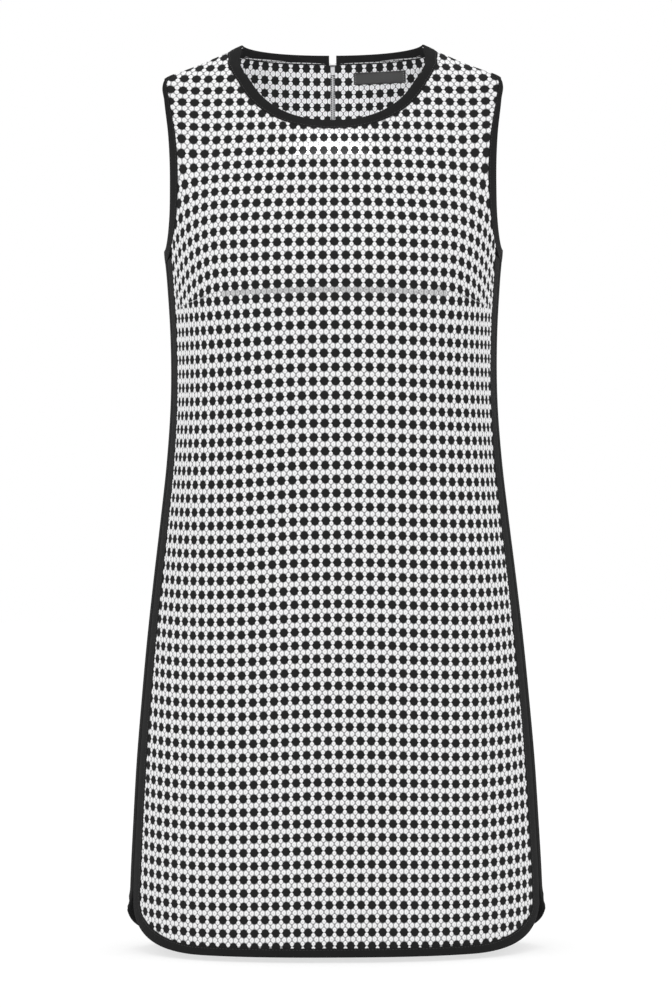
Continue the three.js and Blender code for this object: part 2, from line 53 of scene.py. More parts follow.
NECK = {"half_width": 87, "strip_at_side": 11.6, "drop": 80, "roundness": 2.25,
        "bulge": 3.8, "bulge_depth": 40, "back_drop": 2, "shoulder_drop": 5.2, "back_curve": 2.5}
ARMHOLE = {"top": -33, "bottom": -199, "front": 28.5, "back": 36, "lowness": 0.45, "shoulder_rise": 3.2}
UNDERARM_RISE = 0.45
FRONT_WRAP = 10
BACK_WRAP = 11
ARMHOLE_STRIP = 12.5
FRONT_STRIP = 19
BACK_STRIP = FRONT_WRAP + BACK_WRAP
CORNER = {"front": {"top": -830, "width": 106}, "back": {"top": -816, "width": 112}}
VENT = {"top": -826, "front_tuck": 1, "back_flare": 4.5, "above": 12, "over": 45, "across": 80}
ZIP = {"top": -13, "bottom": -400, "mouth": 3.5, "edge": 2.3, "half_chain": 1.9, "tape_width": 9,
       "tape_wall": 0.8, "tape_top": -12.5, "tape_bottom": -410, "chain_top": -20.2}
LABEL = {"start": 21, "width": 52, "top": -18, "height": 11, "tilt": 0.02, "wall": 0.6}

# ---- the skin of the filled dress ----

SECTION_COLUMNS = ("z", "half", "front", "back", "front_round", "back_round", "ridge")
SECTIONS = np.array([
    (10, 65, 15, 43, 1.6, 2.1, 1.02),
    (0, 87, 21, 50, 1.6, 2.1, 1.02),
    (-7, 102, 25, 53, 1.7, 2.1, 1.02),
    (-18, 127, 32, 58, 1.75, 2.1, 1.02),
    (-33, 163.5, 39, 64, 1.85, 2.1, 1.02),
    (-50, 171, 45, 69, 2.0, 2.1, 1.025),
    (-90, 172, 59, 77, 2.4, 2.2, 1.03),
    (-135, 170, 77, 83, 2.7, 2.4, 1.03),
    (-170, 166.5, 91, 86, 2.85, 2.5, 1.03),
    (-205, 163, 103, 86, 2.9, 2.5, 1.03),
    (-232, 160.5, 108, 85, 2.9, 2.5, 1.03),
    (-286, 157.5, 107, 79, 2.9, 2.5, 1.03),
    (-344, 157.5, 102, 75, 2.9, 2.5, 1.03),
    (-403, 161.5, 99, 77, 2.9, 2.5, 1.035),
    (-461, 168, 98, 84, 2.9, 2.5, 1.04),
    (-519, 175, 99, 91, 2.85, 2.5, 1.042),
    (-577, 181.5, 101, 96, 2.8, 2.5, 1.045),
    (-635, 187, 103, 99, 2.8, 2.5, 1.05),
    (-694, 192, 105, 101, 2.7, 2.5, 1.053),
    (-752, 195.5, 107, 103, 2.7, 2.5, 1.056),
    (-810, 198.5, 109, 105, 2.65, 2.5, 1.06),
    (-900, 201, 112, 108, 2.6, 2.5, 1.06),
])
SKIN_TOP = 14
HEIGHTS = np.arange(SKIN_TOP, -901.0, -1.0)
TURNS = 160


def section_column(key):
    """A column of the section table at every height, as a smooth curve through its rows."""
    heights = SECTIONS[:, 0]
    values = SECTIONS[:, SECTION_COLUMNS.index(key)]
    last = len(heights) - 1
    above = np.maximum(np.arange(last + 1) - 1, 0)
    below = np.minimum(np.arange(last + 1) + 1, last)
    slopes = (values[below] - values[above]) / (heights[below] - heights[above])
    i = np.clip(np.searchsorted(-heights, -HEIGHTS, side="right") - 1, 0, last - 1)
    step = heights[i + 1] - heights[i]
    f = (HEIGHTS - heights[i]) / step
    bend = f * f * (3 - 2 * f)
    lead = step * (f * (1 - f) ** 2 * slopes[i] - f * f * (1 - f) * slopes[i + 1])
    return values[i] + (values[i + 1] - values[i]) * bend + lead


def skin_tables(face):
    """Half level sections at every height, at even shares of their way round from the centre line."""
    half = section_column("half")[:, None]
    power = section_column(face + "_round")[:, None]
    ridge = section_column("ridge")[:, None]
    past = (1 - ridge ** -power) ** (1 / power)
    x = half * np.sin(np.linspace(0, math.pi / 2, TURNS + 1))[None, :]
    y = (1 - (x / (half * ridge)) ** power) ** (1 / power) - past
    y = y * section_column(face)[:, None] / (1 - past)
    steps = np.hypot(np.diff(x, axis=1), np.diff(y, axis=1))
    arc = np.hstack([np.zeros((len(HEIGHTS), 1)), np.cumsum(steps, axis=1)])
    even = np.linspace(0, 1, TURNS + 1)
    sign = -1 if face == "front" else 1
    return {
        "length": arc[:, -1],
        "x": np.array([np.interp(even * a[-1], a, row) for a, row in zip(arc, x)]),
        "y": np.array([np.interp(even * a[-1], a, row) for a, row in zip(arc, y)]) * sign,
    }


SKIN = {face: skin_tables(face) for face in ("front", "back")}


def arc_length(face, z):
    """The way round from the centre line of a face to the side ridge."""
    return np.interp(SKIN_TOP - np.asarray(z, float), np.arange(len(HEIGHTS)), SKIN[face]["length"])


def look_up(table, z, share):
    row = np.clip(SKIN_TOP - z, 0, len(HEIGHTS) - 1.001)
    col = np.clip(share * TURNS, 0, TURNS - 0.001)
    r, c = row.astype(int), col.astype(int)
    fr, fc = row - r, col - c
    upper = table[r, c] * (1 - fc) + table[r, c + 1] * fc
    lower = table[r + 1, c] * (1 - fc) + table[r + 1, c + 1] * fc
    return upper * (1 - fr) + lower * fr


def ease(f):
    f = np.clip(f, 0, 1)
    return f * f * (3 - 2 * f)


def skin_point(side, t, z, layer):
    """Points of the skin. layer says whose edge it is, since front and back part at the vents."""
    place = {}
    for face in ("front", "back"):
        length = arc_length(face, z)
        share = (length - np.abs(t)) / length
        sign = np.where(share < 0, -1, 1)
        place[face] = (look_up(SKIN[face]["x"], z, np.abs(share)) * sign,
                       look_up(SKIN[face]["y"], z, np.abs(share)))
    front = t <= 0
    x = np.where(front, place["front"][0], place["back"][0])
    y = np.where(front, place["front"][1], place["back"][1])
    parting = ease((VENT["top"] + VENT["above"] - z) / VENT["over"])
    spread = parting * ease(1 - np.abs(t) / VENT["across"])
    push = VENT["back_flare"] if layer == "back" else -VENT["front_tuck"]
    return np.stack([side * (x + push * spread), y, z], axis=-1)


# Soft folds: where each one's middle is, how long and wide it is, how deep (less than 0
# is a trough) and how far its lower end leans outwards. across is from the centre line, + to the right.
FOLD_COLUMNS = ("face", "across", "z", "length", "width", "depth", "lean")
FOLDS = [
    ("front", -112, -330, 170, 20, -2.2, 14),
    ("front", 116, -325, 150, 18, -1.9, 12),
    ("front", -140, -390, 200, 17, 1.5, 18),
    ("front", 143, -400, 190, 16, 1.4, 16),
    ("front", -118, -262, 46, 13, 1.4, -12),
    ("front", 120, -262, 44, 13, 1.3, -12),
    ("front", -126, -118, 78, 11, -1.7, 12),
    ("front", 128, -112, 70, 10, -1.6, 12),
    ("front", -104, -60, 66, 16, 1.0, 8),
    ("front", 106, -64, 58, 15, 0.9, 8),
    ("front", -74, -640, 330, 27, -2.1, 10),
    ("front", -118, -690, 300, 24, 1.8, 14),
    ("front", 88, -670, 320, 27, -1.9, 12),
    ("front", 132, -640, 300, 24, 1.6, 14),
    ("front", -18, -720, 250, 30, 1.3, -6),
    ("front", 34, -560, 260, 28, 1.0, 6),
    ("front", -150, -640, 240, 16, -1.3, 14),
    ("front", 158, -700, 210, 16, -1.2, 12),
    ("back", -96, -150, 150, 22, 1.8, 8),
    ("back", 98, -160, 140, 21, 1.6, 8),
    ("back", -60, -330, 190, 20, -2.4, 12),
    ("back", 62, -338, 180, 20, -2.2, 10),
    ("back", -108, -360, 170, 20, 1.8, 22),
    ("back", 112, -352, 160, 19, 1.7, 20),
    ("back", -72, -640, 320, 27, 2.4, 12),
    ("back", 76, -660, 300, 26, 2.2, 12),
    ("back", -118, -680, 300, 23, -2.1, 16),
    ("back", 122, -650, 310, 23, -2.0, 16),
    ("back", -32, -700, 270, 25, -1.7, 6),
    ("back", 36, -690, 280, 25, -1.6, 6),
    ("back", -150, -560, 240, 17, 1.4, 16),
    ("back", 152, -580, 230, 17, 1.3, 16),
]
FOLD_SEAM_FADE = 34  # folds die away this near a side seam


def drape(face, u, z, seam):
    """How far the folds lift the cloth off the plain skin. seam is the way to the side ridge."""
    lift = np.zeros(np.shape(z))
    for row in FOLDS:
        fold = dict(zip(FOLD_COLUMNS, row))
        if fold["face"] != face:
            continue
        down = (fold["z"] - z) / fold["length"]
        middle = fold["across"] + math.copysign(fold["lean"], fold["across"]) * down
        off = (u - middle) / (fold["width"] * (1 + 0.35 * np.clip(down + 0.5, 0, 1)))
        lift = lift + fold["depth"] * np.exp(-off * off) * ease(1 - np.abs(down) / 0.75)
    return lift * ease(seam / FOLD_SEAM_FADE)


def lifted(side, t, z, layer, height):
    """Points off the skin by a height outwards, with the folds."""
    side, t, z, height = np.broadcast_arrays(*(np.asarray(v, float) for v in (side, t, z, height)))
    reach = 2.5
    front = t <= 0
    length = np.where(front, arc_length("front", z), arc_length("back", z))
    upper = np.where(front, arc_length("front", z + reach), arc_length("back", z + reach)) / length
    lower = np.where(front, arc_length("front", z - reach), arc_length("back", z - reach)) / length
    around = skin_point(side, t + reach, z, layer) - skin_point(side, t - reach, z, layer)
    down = skin_point(side, t * lower, z - reach, layer) - skin_point(side, t * upper, z + reach, layer)
    normal = np.cross(around, down) * -side[..., None]
    normal /= np.linalg.norm(normal, axis=-1, keepdims=True)
    seam = np.abs(t)
    u = side * (length - seam)
    lift = np.where(front, drape("front", u, z, seam), drape("back", u, z, seam))
    return skin_point(side, t, z, layer) + normal * (height + lift)[..., None]


def on_cloth(face, u, z, height, layer=None):
    """The same points from cloth coordinates: u is the way round from the centre line of the face."""
    u, z, height = np.broadcast_arrays(*(np.asarray(v, float) for v in (u, z, height)))
    length = arc_length(face, z)
    t = np.abs(u) - length if face == "front" else length - np.abs(u)
    return lifted(np.where(u < 0, -1.0, 1.0), t, z, layer or face, height)


# ---- the lattice of the weave ----

# How the weave's small repeat lies on the front at each height: shift is how far its middle column
# stands to the right, mid and side are the column spacings at the centre and out at the fourteenth
# column, sag_left and sag_right are how far the rows hang below level towards the sides, dart is how
# strongly the rows above the bust darts are pulled down, and row is the spacing of the rows.
LATTICE_COLUMNS = ("z", "shift", "mid", "side", "sag_left", "sag_right", "dart", "row")
FRONT_LATTICE = np.array([
    (0, 1.2, 9.3, 10.3, 0, 0, -0.4, 11.6),
    (-60, 1.2, 9.6, 10.7, 0, 0, -0.45, 12.1),
    (-90, 1.2, 9.7, 10.8, 0, 0, -0.55, 12.5),
    (-110, 1.1, 9.85, 10.9, 0.5, 0.5, -0.25, 12.8),
    (-150, 1.0, 10.3, 10.65, 0.5, 1.8, 0.7, 12.8),
    (-187, 0.9, 10.8, 10.6, 1.0, 2.2, 1.1, 13.0),
    (-226, 0.8, 10.85, 10.4, 1.5, 2.3, 1.38, 13.05),
    (-265, 1.2, 10.75, 10.15, 2.4, 2.8, 1.6, 13.15),
    (-345, 1.6, 10.6, 10.05, 3.9, 2.8, 1.6, 13.15),
    (-425, 1.9, 10.4, 10.1, 4.3, 2.8, 1.6, 13.13),
    (-500, 2.5, 10.25, 10.2, 4.3, 3.2, 1.6, 13.0),
    (-580, 2.9, 10.15, 10.25, 4.5, 4.3, 1.6, 12.75),
    (-655, 3.1, 10.1, 10.22, 4.2, 4.0, 1.6, 12.9),
    (-735, 3.3, 10.0, 10.2, 4.2, 3.4, 1.6, 12.75),
    (-850, 3.4, 9.95, 10.2, 2.6, 1.5, 1.6, 12.6),
    (-900, 3.4, 9.95, 10.2, 2.6, 1.5, 1.6, 12.6),
])
BACK_LATTICE = np.array([
    (0, 0, 10.45, 10.4, -3, -3, 0, 12.2),
    (-80, 0, 10.45, 10.4, -3, -3, 0, 12.2),
    (-160, 0, 10.25, 10.3, 0, 0, 0, 12.9),
    (-300, 0, 10.3, 10.2, 3, 2.5, 0, 13.0),
    (-500, 0, 10.2, 10.1, 4, 3.5, 0, 13.0),
    (-900, 0, 10.1, 10.2, 4, 3.5, 0, 12.7),
])
LATTICES = {"front": FRONT_LATTICE, "back": BACK_LATTICE}
ROW_ZERO = {"front": -436.9, "back": -14.2}  # height of the row of stars that is numbered 0
CENTRE_COLUMN = {"front": 0.0, "back": 0.5}  # the back has a column of petals down its centre line
SIDE_COLUMN = 14
SAG_PEAK = 130
MEAN_COLUMN, MEAN_ROW = 10.3, 12.9
FARTHEST = 260  # no face is wider than this each way from its centre line
DART = {"tip": 110, "tip_z": -247, "side": 197, "side_z": -262, "pull": 0.0105, "power": 1.77}


def lattice_value(face, key, z):
    table = LATTICES[face]
    return np.interp(-z, -table[:, 0], table[:, LATTICE_COLUMNS.index(key)])


def row_numbers(face):
    row = lattice_value(face, "row", HEIGHTS)
    count = np.concatenate([[0], np.cumsum(2 / (row[1:] + row[:-1]))])
    return count - np.interp(SKIN_TOP - ROW_ZERO[face], np.arange(len(HEIGHTS)), count)


ROW_NUMBERS = {face: row_numbers(face) for face in ("front", "back")}


def dart_height(u):
    """The height of the bust dart's seam. Inwards of its tip it runs on level, and nothing jumps there."""
    f = np.clip((np.abs(u) - DART["tip"]) / (DART["side"] - DART["tip"]), 0, 1.2)
    return DART["tip_z"] + (DART["side_z"] - DART["tip_z"]) * f


def lattice(face, u, z, above_dart):
    """Column and row numbers of the repeat at a place. Stars stand at whole numbers."""
    u = u - lattice_value(face, "shift", z)
    mid = lattice_value(face, "mid", z)
    v = u / mid
    at_side = SIDE_COLUMN * lattice_value(face, "side", z) / mid
    column = v + (SIDE_COLUMN - at_side) / at_side ** 3 * v ** 3
    sag = np.where(u < 0, lattice_value(face, "sag_left", z), lattice_value(face, "sag_right", z))
    sag = sag * np.sin(np.minimum(np.abs(u) / SAG_PEAK, 1.7) * math.pi / 2) ** 2.2
    past = np.maximum(np.abs(u) - DART["tip"], 0)
    pull = lattice_value(face, "dart", z) * DART["pull"] * past ** DART["power"]
    row = np.interp(SKIN_TOP - z, np.arange(len(HEIGHTS)), ROW_NUMBERS[face])
    drop = sag + np.where(above_dart, pull, 0)
    return column + CENTRE_COLUMN[face], row - drop / MEAN_ROW


def lay(face, column, row, above_dart):
    """The place (u, z) on a face where the repeat has those column and row numbers."""
    u = (column - CENTRE_COLUMN[face]) * MEAN_COLUMN
    z = np.interp(row, ROW_NUMBERS[face], HEIGHTS)
    for _ in range(14):
        has_column, has_row = lattice(face, u, z, above_dart)
        u = np.clip(u + (column - has_column) * MEAN_COLUMN, -FARTHEST, FARTHEST)
        z = np.clip(z - (row - has_row) * MEAN_ROW, HEIGHTS[-1], HEIGHTS[0])
    return u, z


# ---- edges ----


def neck_edge(grow, steps=44):
    """The front neckline, grown by a width into the cloth, from the centre up to the shoulder: u and z."""
    share = grow / BINDING_WIDTH
    angle = np.linspace(0, math.pi / 2, steps + 1)
    power = 2 / NECK["roundness"]
    x = (NECK["half_width"] + NECK["strip_at_side"] * share) * np.sin(angle) ** power
    z = -(NECK["drop"] + grow) * np.maximum(np.cos(angle), 0) ** power
    z = np.minimum(z, -NECK["shoulder_drop"] * share)
    x = x + NECK["bulge"] * np.sin(math.pi * np.clip(-z / NECK["bulge_depth"], 0, 1))
    u = np.empty(steps + 1)
    for i in range(steps + 1):
        row = int(np.clip(round(SKIN_TOP - z[i]), 0, len(HEIGHTS) - 1))
        xs = SKIN["front"]["x"][row]
        length = float(arc_length("front", z[i]))
        run = np.linspace(0, length, TURNS + 1)
        u[i] = length if i == steps or x[i] >= xs[-1] else np.interp(x[i], xs, run)
    return u, z


def back_neck_edge(grow, steps=36):
    """The back neckline from the zip to the shoulder: u and z."""
    share = grow / BINDING_WIDTH
    f = np.linspace(0, 1, steps + 1)
    low = -NECK["back_drop"] - grow
    end = -NECK["shoulder_drop"] * share
    z = low + (end - low) * f ** NECK["back_curve"]
    return ZIP["mouth"] + (arc_length("back", z) - ZIP["mouth"]) * f, z


def armhole_edge(face, grow, steps=60):
    """The armhole's edge, grown by a width into the cloth, from the shoulder to the underarm: t and z."""
    angle = np.linspace(0, math.pi, steps + 1)
    top = ARMHOLE["top"] + ARMHOLE["shoulder_rise"] * grow / BINDING_WIDTH
    bottom = ARMHOLE["bottom"] - grow
    z = top + (bottom - top) * (1 - np.cos(angle)) / 2
    t = (ARMHOLE[face] + grow) * np.sin(angle) * (1 - ARMHOLE["lowness"] * np.cos(angle))
    return (-t if face == "front" else t), z


def underarm(t):
    """The height where a side edge meets the armhole's strip."""
    reach = (ARMHOLE["front"] if t < 0 else ARMHOLE["back"]) + ARMHOLE_STRIP
    height = ARMHOLE["top"] - ARMHOLE["bottom"] + ARMHOLE_STRIP
    rise = UNDERARM_RISE * (height / 4) * (t / (reach * (1 + ARMHOLE["lowness"]))) ** 2
    return ARMHOLE["bottom"] - ARMHOLE_STRIP - SEAM_GAP + rise


def side_and_hem_edge(face, start, grow, grow_at_hem, side_steps=110, corner_steps=26, hem_steps=44):
    """A side edge from the underarm down, round the hem's corner and in to the centre: t and z."""
    sign = -1 if face == "front" else 1
    top = underarm(start + sign * grow)
    down = np.linspace(0, 1, side_steps + 1)[:-1]
    ts = [np.full(side_steps, start + sign * grow)]
    corner = CORNER[face]
    zs = [top + (corner["top"] - top) * down]
    share = np.linspace(0, 1, corner_steps + 1)
    width = grow + (grow_at_hem - grow) * ease(share)
    across = width + (corner["width"] - width) * (1 - np.cos(share * math.pi / 2))
    ts.append(start + sign * across)
    zs.append(corner["top"] - (corner["top"] + DRESS_LENGTH - width) * np.sin(share * math.pi / 2))
    low = -DRESS_LENGTH + grow_at_hem
    length = float(arc_length(face, low))
    u = (length - abs(ts[1][-1])) * (1 - np.linspace(0, 1, hem_steps + 1)[1:])
    ts.append(sign * (length - u))
    zs.append(np.full(hem_steps, low))
    return np.concatenate(ts), np.concatenate(zs)


SIDE_STRIPS = {
    "front": {"start": -FRONT_WRAP - SEAM_GAP, "width": FRONT_STRIP},
    "back": {"start": -FRONT_WRAP, "width": BACK_STRIP},
}
WAIST_OF_ARMHOLE = -119


def panel_reach(face, z, tuck):
    """The way round, from the centre line, where a panel starts and stops at each height."""
    grow = BINDING_WIDTH - tuck
    strip = SIDE_STRIPS[face]
    t, edge_z = side_and_hem_edge(face, strip["start"], strip["width"] - tuck, grow)
    side = np.abs(np.interp(-z, -edge_z, t))
    arm_t, arm_z = armhole_edge(face, ARMHOLE_STRIP - tuck)
    arm = np.interp(-z, -arm_z, np.abs(arm_t), left=0, right=0)
    outer_t = np.where(z < WAIST_OF_ARMHOLE, np.maximum(arm, side), np.maximum(arm, SEAM_GAP / 2))
    outer = arc_length(face, z) - outer_t
    if face == "front":
        neck_u, neck_z = neck_edge(grow)
        inner = np.interp(z, neck_z, neck_u, left=0)
    else:
        neck_u, neck_z = back_neck_edge(grow)
        open_to = np.interp(z, [ZIP["bottom"] - 8, ZIP["bottom"] - 2], [SEAM_GAP / 2, ZIP["edge"]])
        inner = np.where(z > neck_z[0], np.interp(z, neck_z, neck_u), open_to)
    return np.minimum(inner, outer), outer


# ---- meshes ----


def new_piece(name, vertices, faces, finishes, face_finish=None, uv=None, values=None):
    """A mesh piece from points in millimetres. uv and values are given per point."""
    mesh = bpy.data.meshes.new(name)
    mesh.from_pydata((np.asarray(vertices) * MM).tolist(), [], [tuple(map(int, f)) for f in faces])
    for finish in finishes:
        mesh.materials.append(finish)
    if face_finish is not None:
        mesh.polygons.foreach_set("material_index", np.asarray(face_finish, np.int32))
    corners = np.empty(len(mesh.loops), np.int32)
    mesh.loops.foreach_get("vertex_index", corners)
    if uv is not None:
        layer = mesh.uv_layers.new(name="cloth")
        layer.data.foreach_set("uv", np.asarray(uv, np.float32)[corners].ravel())
    for key, value in (values or {}).items():
        attribute = mesh.attributes.new(key, "FLOAT", "POINT")
        attribute.data.foreach_set("value", np.asarray(value, np.float32))
    mesh.polygons.foreach_set("use_smooth", np.ones(len(mesh.polygons), bool))
    piece = bpy.data.objects.new(name, mesh)
    bpy.context.scene.collection.objects.link(piece)
    return piece


def face_outwards(piece, merge=None):
    """Joins points that lie together and turns a closed piece's faces outwards."""
    bm = bmesh.new()
    bm.from_mesh(piece.data)
    if merge:
        bmesh.ops.remove_doubles(bm, verts=bm.verts, dist=merge * MM)
    if bm.calc_volume(signed=True) < 0:
        bmesh.ops.reverse_faces(bm, faces=bm.faces)
    bm.to_mesh(piece.data)
    bm.free()


def sharpen(piece, degrees):
    bpy.ops.object.select_all(action="DESELECT")
    piece.select_set(True)
    bpy.context.view_layer.objects.active = piece
    bpy.ops.object.shade_smooth_by_angle(angle=math.radians(degrees))


def grid_faces(rows, cols, first=0):
    a = first + (np.arange(rows - 1)[:, None] * cols + np.arange(cols - 1)[None, :]).ravel()
    return np.stack([a, a + cols, a + cols + 1, a + 1], axis=1)


def sweep(name, ring_points, finish, uv, closed=False):
    """A closed strip through rings of points: ring_points is (stations, points round, 3)."""
    stations, sides, _ = ring_points.shape
    index = np.arange(stations * sides).reshape(stations, sides)
    nxt = np.roll(index, -1, axis=0) if closed else index[1:]
    cur = index if closed else index[:-1]
    faces = np.stack([cur, np.roll(cur, -1, axis=1), np.roll(nxt, -1, axis=1), nxt], axis=-1)
    faces = faces.reshape(-1, 4).tolist()
    if not closed:
        faces.append(index[0, ::-1].tolist())
        faces.append(index[-1].tolist())
    piece = new_piece(name, ring_points.reshape(-1, 3), faces, [finish], uv=uv.reshape(-1, 2))
    face_outwards(piece)
    return piece


# ---- finishes ----


class Wire:
    """A socket of a finish, so that a finish's sums read as sums."""

    def __init__(self, finish, socket):
        self.finish = finish
        self.socket = socket

    def maths(self, operation, first, second=None):
        return self.finish.node("ShaderNodeMath", {"operation": operation}, {0: first, 1: second})

    def __add__(self, other):
        return self.maths("ADD", self, other)

    __radd__ = __add__

    def __sub__(self, other):
        return self.maths("SUBTRACT", self, other)

    def __rsub__(self, other):
        return self.maths("SUBTRACT", other, self)

    def __mul__(self, other):
        return self.maths("MULTIPLY", self, other)

    __rmul__ = __mul__

    def __truediv__(self, other):
        return self.maths("DIVIDE", self, other)

    def __rtruediv__(self, other):
        return self.maths("DIVIDE", other, self)

    def __pow__(self, other):
        return self.maths("POWER", self, other)

    def __abs__(self):
        return self.maths("ABSOLUTE", self)

    def sine(self):
        return self.maths("SINE", self)

    def part(self):
        return self.maths("FRACT", self)

    def larger(self, other):
        return self.maths("MAXIMUM", self, other)

    def step(self, start, end, low=0.0, high=1.0):
        """Smoothly from low, where this is start, to high, where it is end."""
        ends = {"Value": self, "From Min": start, "From Max": end, "To Min": low, "To Max": high}
        return self.finish.node("ShaderNodeMapRange", {"interpolation_type": "SMOOTHSTEP"}, ends)


class Finish:
    """A material of one shader, built from nodes."""

    def __init__(self, name, **constants):
        self.material = bpy.data.materials.new(name)
        self.material.use_nodes = True
        self.tree = self.material.node_tree
        self.shader = next(n for n in self.tree.nodes if n.type == "BSDF_PRINCIPLED")
        for key, value in constants.items():
            self.shader.inputs[key.replace("_", " ").title().replace("Ior", "IOR")].default_value = value

    def set_input(self, socket, value):
        if value is None:
            return
        if isinstance(value, Wire):
            self.tree.links.new(value.socket, socket)
        else:
            socket.default_value = value

    def node(self, kind, settings=None, inputs=None, output=0):
        node = self.tree.nodes.new(kind)
        for key, value in (settings or {}).items():
            if key == "stops":
                ramp = node.color_ramp.elements
                while len(ramp) < len(value):
                    ramp.new(0.5)
                for element, (place, colour) in zip(ramp, value):
                    element.position = place
                    element.color = colour
            else:
                setattr(node, key, value)
        for key, value in (inputs or {}).items():
            self.set_input(node.inputs[key], value)
        return Wire(self, node.outputs[output])

    def surface_place(self):
        """The two coordinates of the piece's own map."""
        uv = self.node("ShaderNodeUVMap", {"uv_map": "cloth"})
        split = self.tree.nodes.new("ShaderNodeSeparateXYZ")
        self.tree.links.new(uv.socket, split.inputs[0])
        return Wire(self, split.outputs[0]), Wire(self, split.outputs[1])

    def at(self, across, along, depth=0.0):
        return self.node("ShaderNodeCombineXYZ", inputs={0: across, 1: along, 2: depth})

    def noise(self, place, scale, detail=2.0, roughness=0.6):
        inputs = {"Vector": place, "Scale": scale, "Detail": detail, "Roughness": roughness}
        return self.node("ShaderNodeTexNoise", inputs=inputs)

    def mix(self, share, dark, light):
        colours = {0: share, "A": dark, "B": light}
        node = self.tree.nodes.new("ShaderNodeMix")
        node.data_type = "RGBA"
        self.set_input(node.inputs["Factor"], share)
        for key, index in (("A", 6), ("B", 7)):
            self.set_input(node.inputs[index], colours[key])
        return Wire(self, node.outputs[2])

    def colour(self, value):
        self.set_input(self.shader.inputs["Base Color"], value)

    def roughness(self, value):
        self.set_input(self.shader.inputs["Roughness"], value)

    def bump(self, height, distance_mm, strength=1.0):
        inputs = {"Height": height, "Distance": distance_mm * MM, "Strength": strength}
        self.set_input(self.shader.inputs["Normal"], self.node("ShaderNodeBump", inputs=inputs))


def grey(value, alpha=1.0):
    return (value, value, value * 1.02, alpha)


# The repeat, in shares of its own spacing: petals stand in a cross round each crossing point.
SIDEWAYS_PETAL = {"off": 0.262, "wide": 0.208, "high": 0.215}
UPRIGHT_PETAL = {"off": 0.3, "wide": 0.196, "high": 0.176}
THREAD = 0.42  # spacing of the threads of the ground weave


def ground_weave(column, row):
    """The plain ground's fine weave as a height from 0 to 1."""
    warp = (column * (2 * math.pi * MEAN_COLUMN / THREAD)).sine()
    weft = (row * (2 * math.pi * MEAN_ROW / THREAD)).sine()
    return warp * weft * 0.5 + 0.5


def ground_tones(finish, column, row, weave):
    place = finish.at(column * MEAN_COLUMN, row * MEAN_ROW)
    fleck = finish.noise(place, 1.6, 3.0, 0.7)
    cloud = finish.noise(place, 0.12, 1.0)
    tone = weave * 0.35 + fleck.step(0.35, 0.75) * 0.5 + cloud * 0.15
    return finish.mix(tone, grey(0.006), grey(0.026)), fleck


STAR = {"wide": 0.41, "high": 0.32, "power": 1.7}  # half sizes of the black stars, in shares of the repeat
SPECK = {"off": 0.11, "size": 0.055}  # the two dark specks at a crossing point


def off_star(column, row):
    """0 in the black stars and 1 round them, with two dark specks at each crossing point."""
    across = abs((column + 0.5).part() - 0.5)
    along = abs((row + 0.5).part() - 0.5)
    far = (across / STAR["wide"]) ** STAR["power"] + (along / STAR["high"]) ** STAR["power"]
    speck_across = column.part() - 0.5
    speck_along = (abs(row.part() - 0.5) - SPECK["off"]) * (MEAN_ROW / MEAN_COLUMN)
    speck = (speck_across * speck_across + speck_along * speck_along) ** 0.5
    return far.step(0.93, 1.12) * speck.step(SPECK["size"] * 0.6, SPECK["size"] * 1.3, 0.35, 1.0)


def cloth_face_finish():
    """The ground under the raised petals: black stars in a light weave greyed by painted shade."""
    finish = Finish("petal_weave_ground", roughness=0.88, specular_ior_level=0.14)
    column, row = finish.surface_place()
    weave = ground_weave(column, row)
    tones, fleck = ground_tones(finish, column, row, weave)
    # light: the ground round the stars, a light weave greyed by painted shade in the gaps between the petals
    light = finish.mix(weave * 0.5 + fleck * 0.5, grey(0.2), grey(0.5))
    finish.colour(finish.mix(off_star(column, row), tones, light))
    finish.bump(weave * 0.6 + fleck * 0.4, 0.25, 0.7)
    return finish.material


def petal_shape(across, along, petal, sideways):
    """How far in a petal a place is: 1 at its middle, 0 at its rim and less outside."""
    if sideways:
        far, near = abs(across) - petal["off"], along
        taper = (far / petal["wide"]).step(-1.0, 0.4, 1.5, 1.0)
        return 1 - (abs(far / petal["wide"]) ** 2.4 + abs(near * taper / petal["high"]) ** 2.4)
    far, near = abs(along) - petal["off"], across
    taper = (far / petal["high"]).step(-1.0, 0.4, 1.4, 1.0)
    return 1 - (abs(near * taper / petal["wide"]) ** 2.2 + abs(far / petal["high"]) ** 2.2)


def cloth_reverse_finish():
    """The inner face of the double weave, with the same repeat in flat petals.

    Painted shade greys the petals towards their middles and the ground in the gaps between them.
    """
    finish = Finish("petal_weave_reverse", roughness=0.85, specular_ior_level=0.14)
    column, row = finish.surface_place()
    weave = ground_weave(column, row)
    tones, fleck = ground_tones(finish, column, row, weave)
    across = column.part() - 0.5
    along = row.part() - 0.5
    inside = petal_shape(across, along, SIDEWAYS_PETAL, True).larger(
        petal_shape(across, along, UPRIGHT_PETAL, False))
    cover = inside.step(-0.12, 0.12)
    # painted shade of a dimple: greys each flat petal towards its middle, and the bump sinks it there
    dimple_and_painted_shade = inside.step(0.55, 0.9)
    white = finish.mix(dimple_and_painted_shade * 0.5 + fleck * 0.25, grey(0.92), grey(0.6))
    # between: the ground round the stars, greyed by painted shade in the gaps between the petals
    between = finish.mix(weave, grey(0.12), grey(0.32))
    finish.colour(finish.mix(cover, finish.mix(off_star(column, row), tones, between), white))
    finish.bump(cover * 0.8 + weave * 0.1 - dimple_and_painted_shade * 0.25, 0.5, 0.8)
    return finish.material


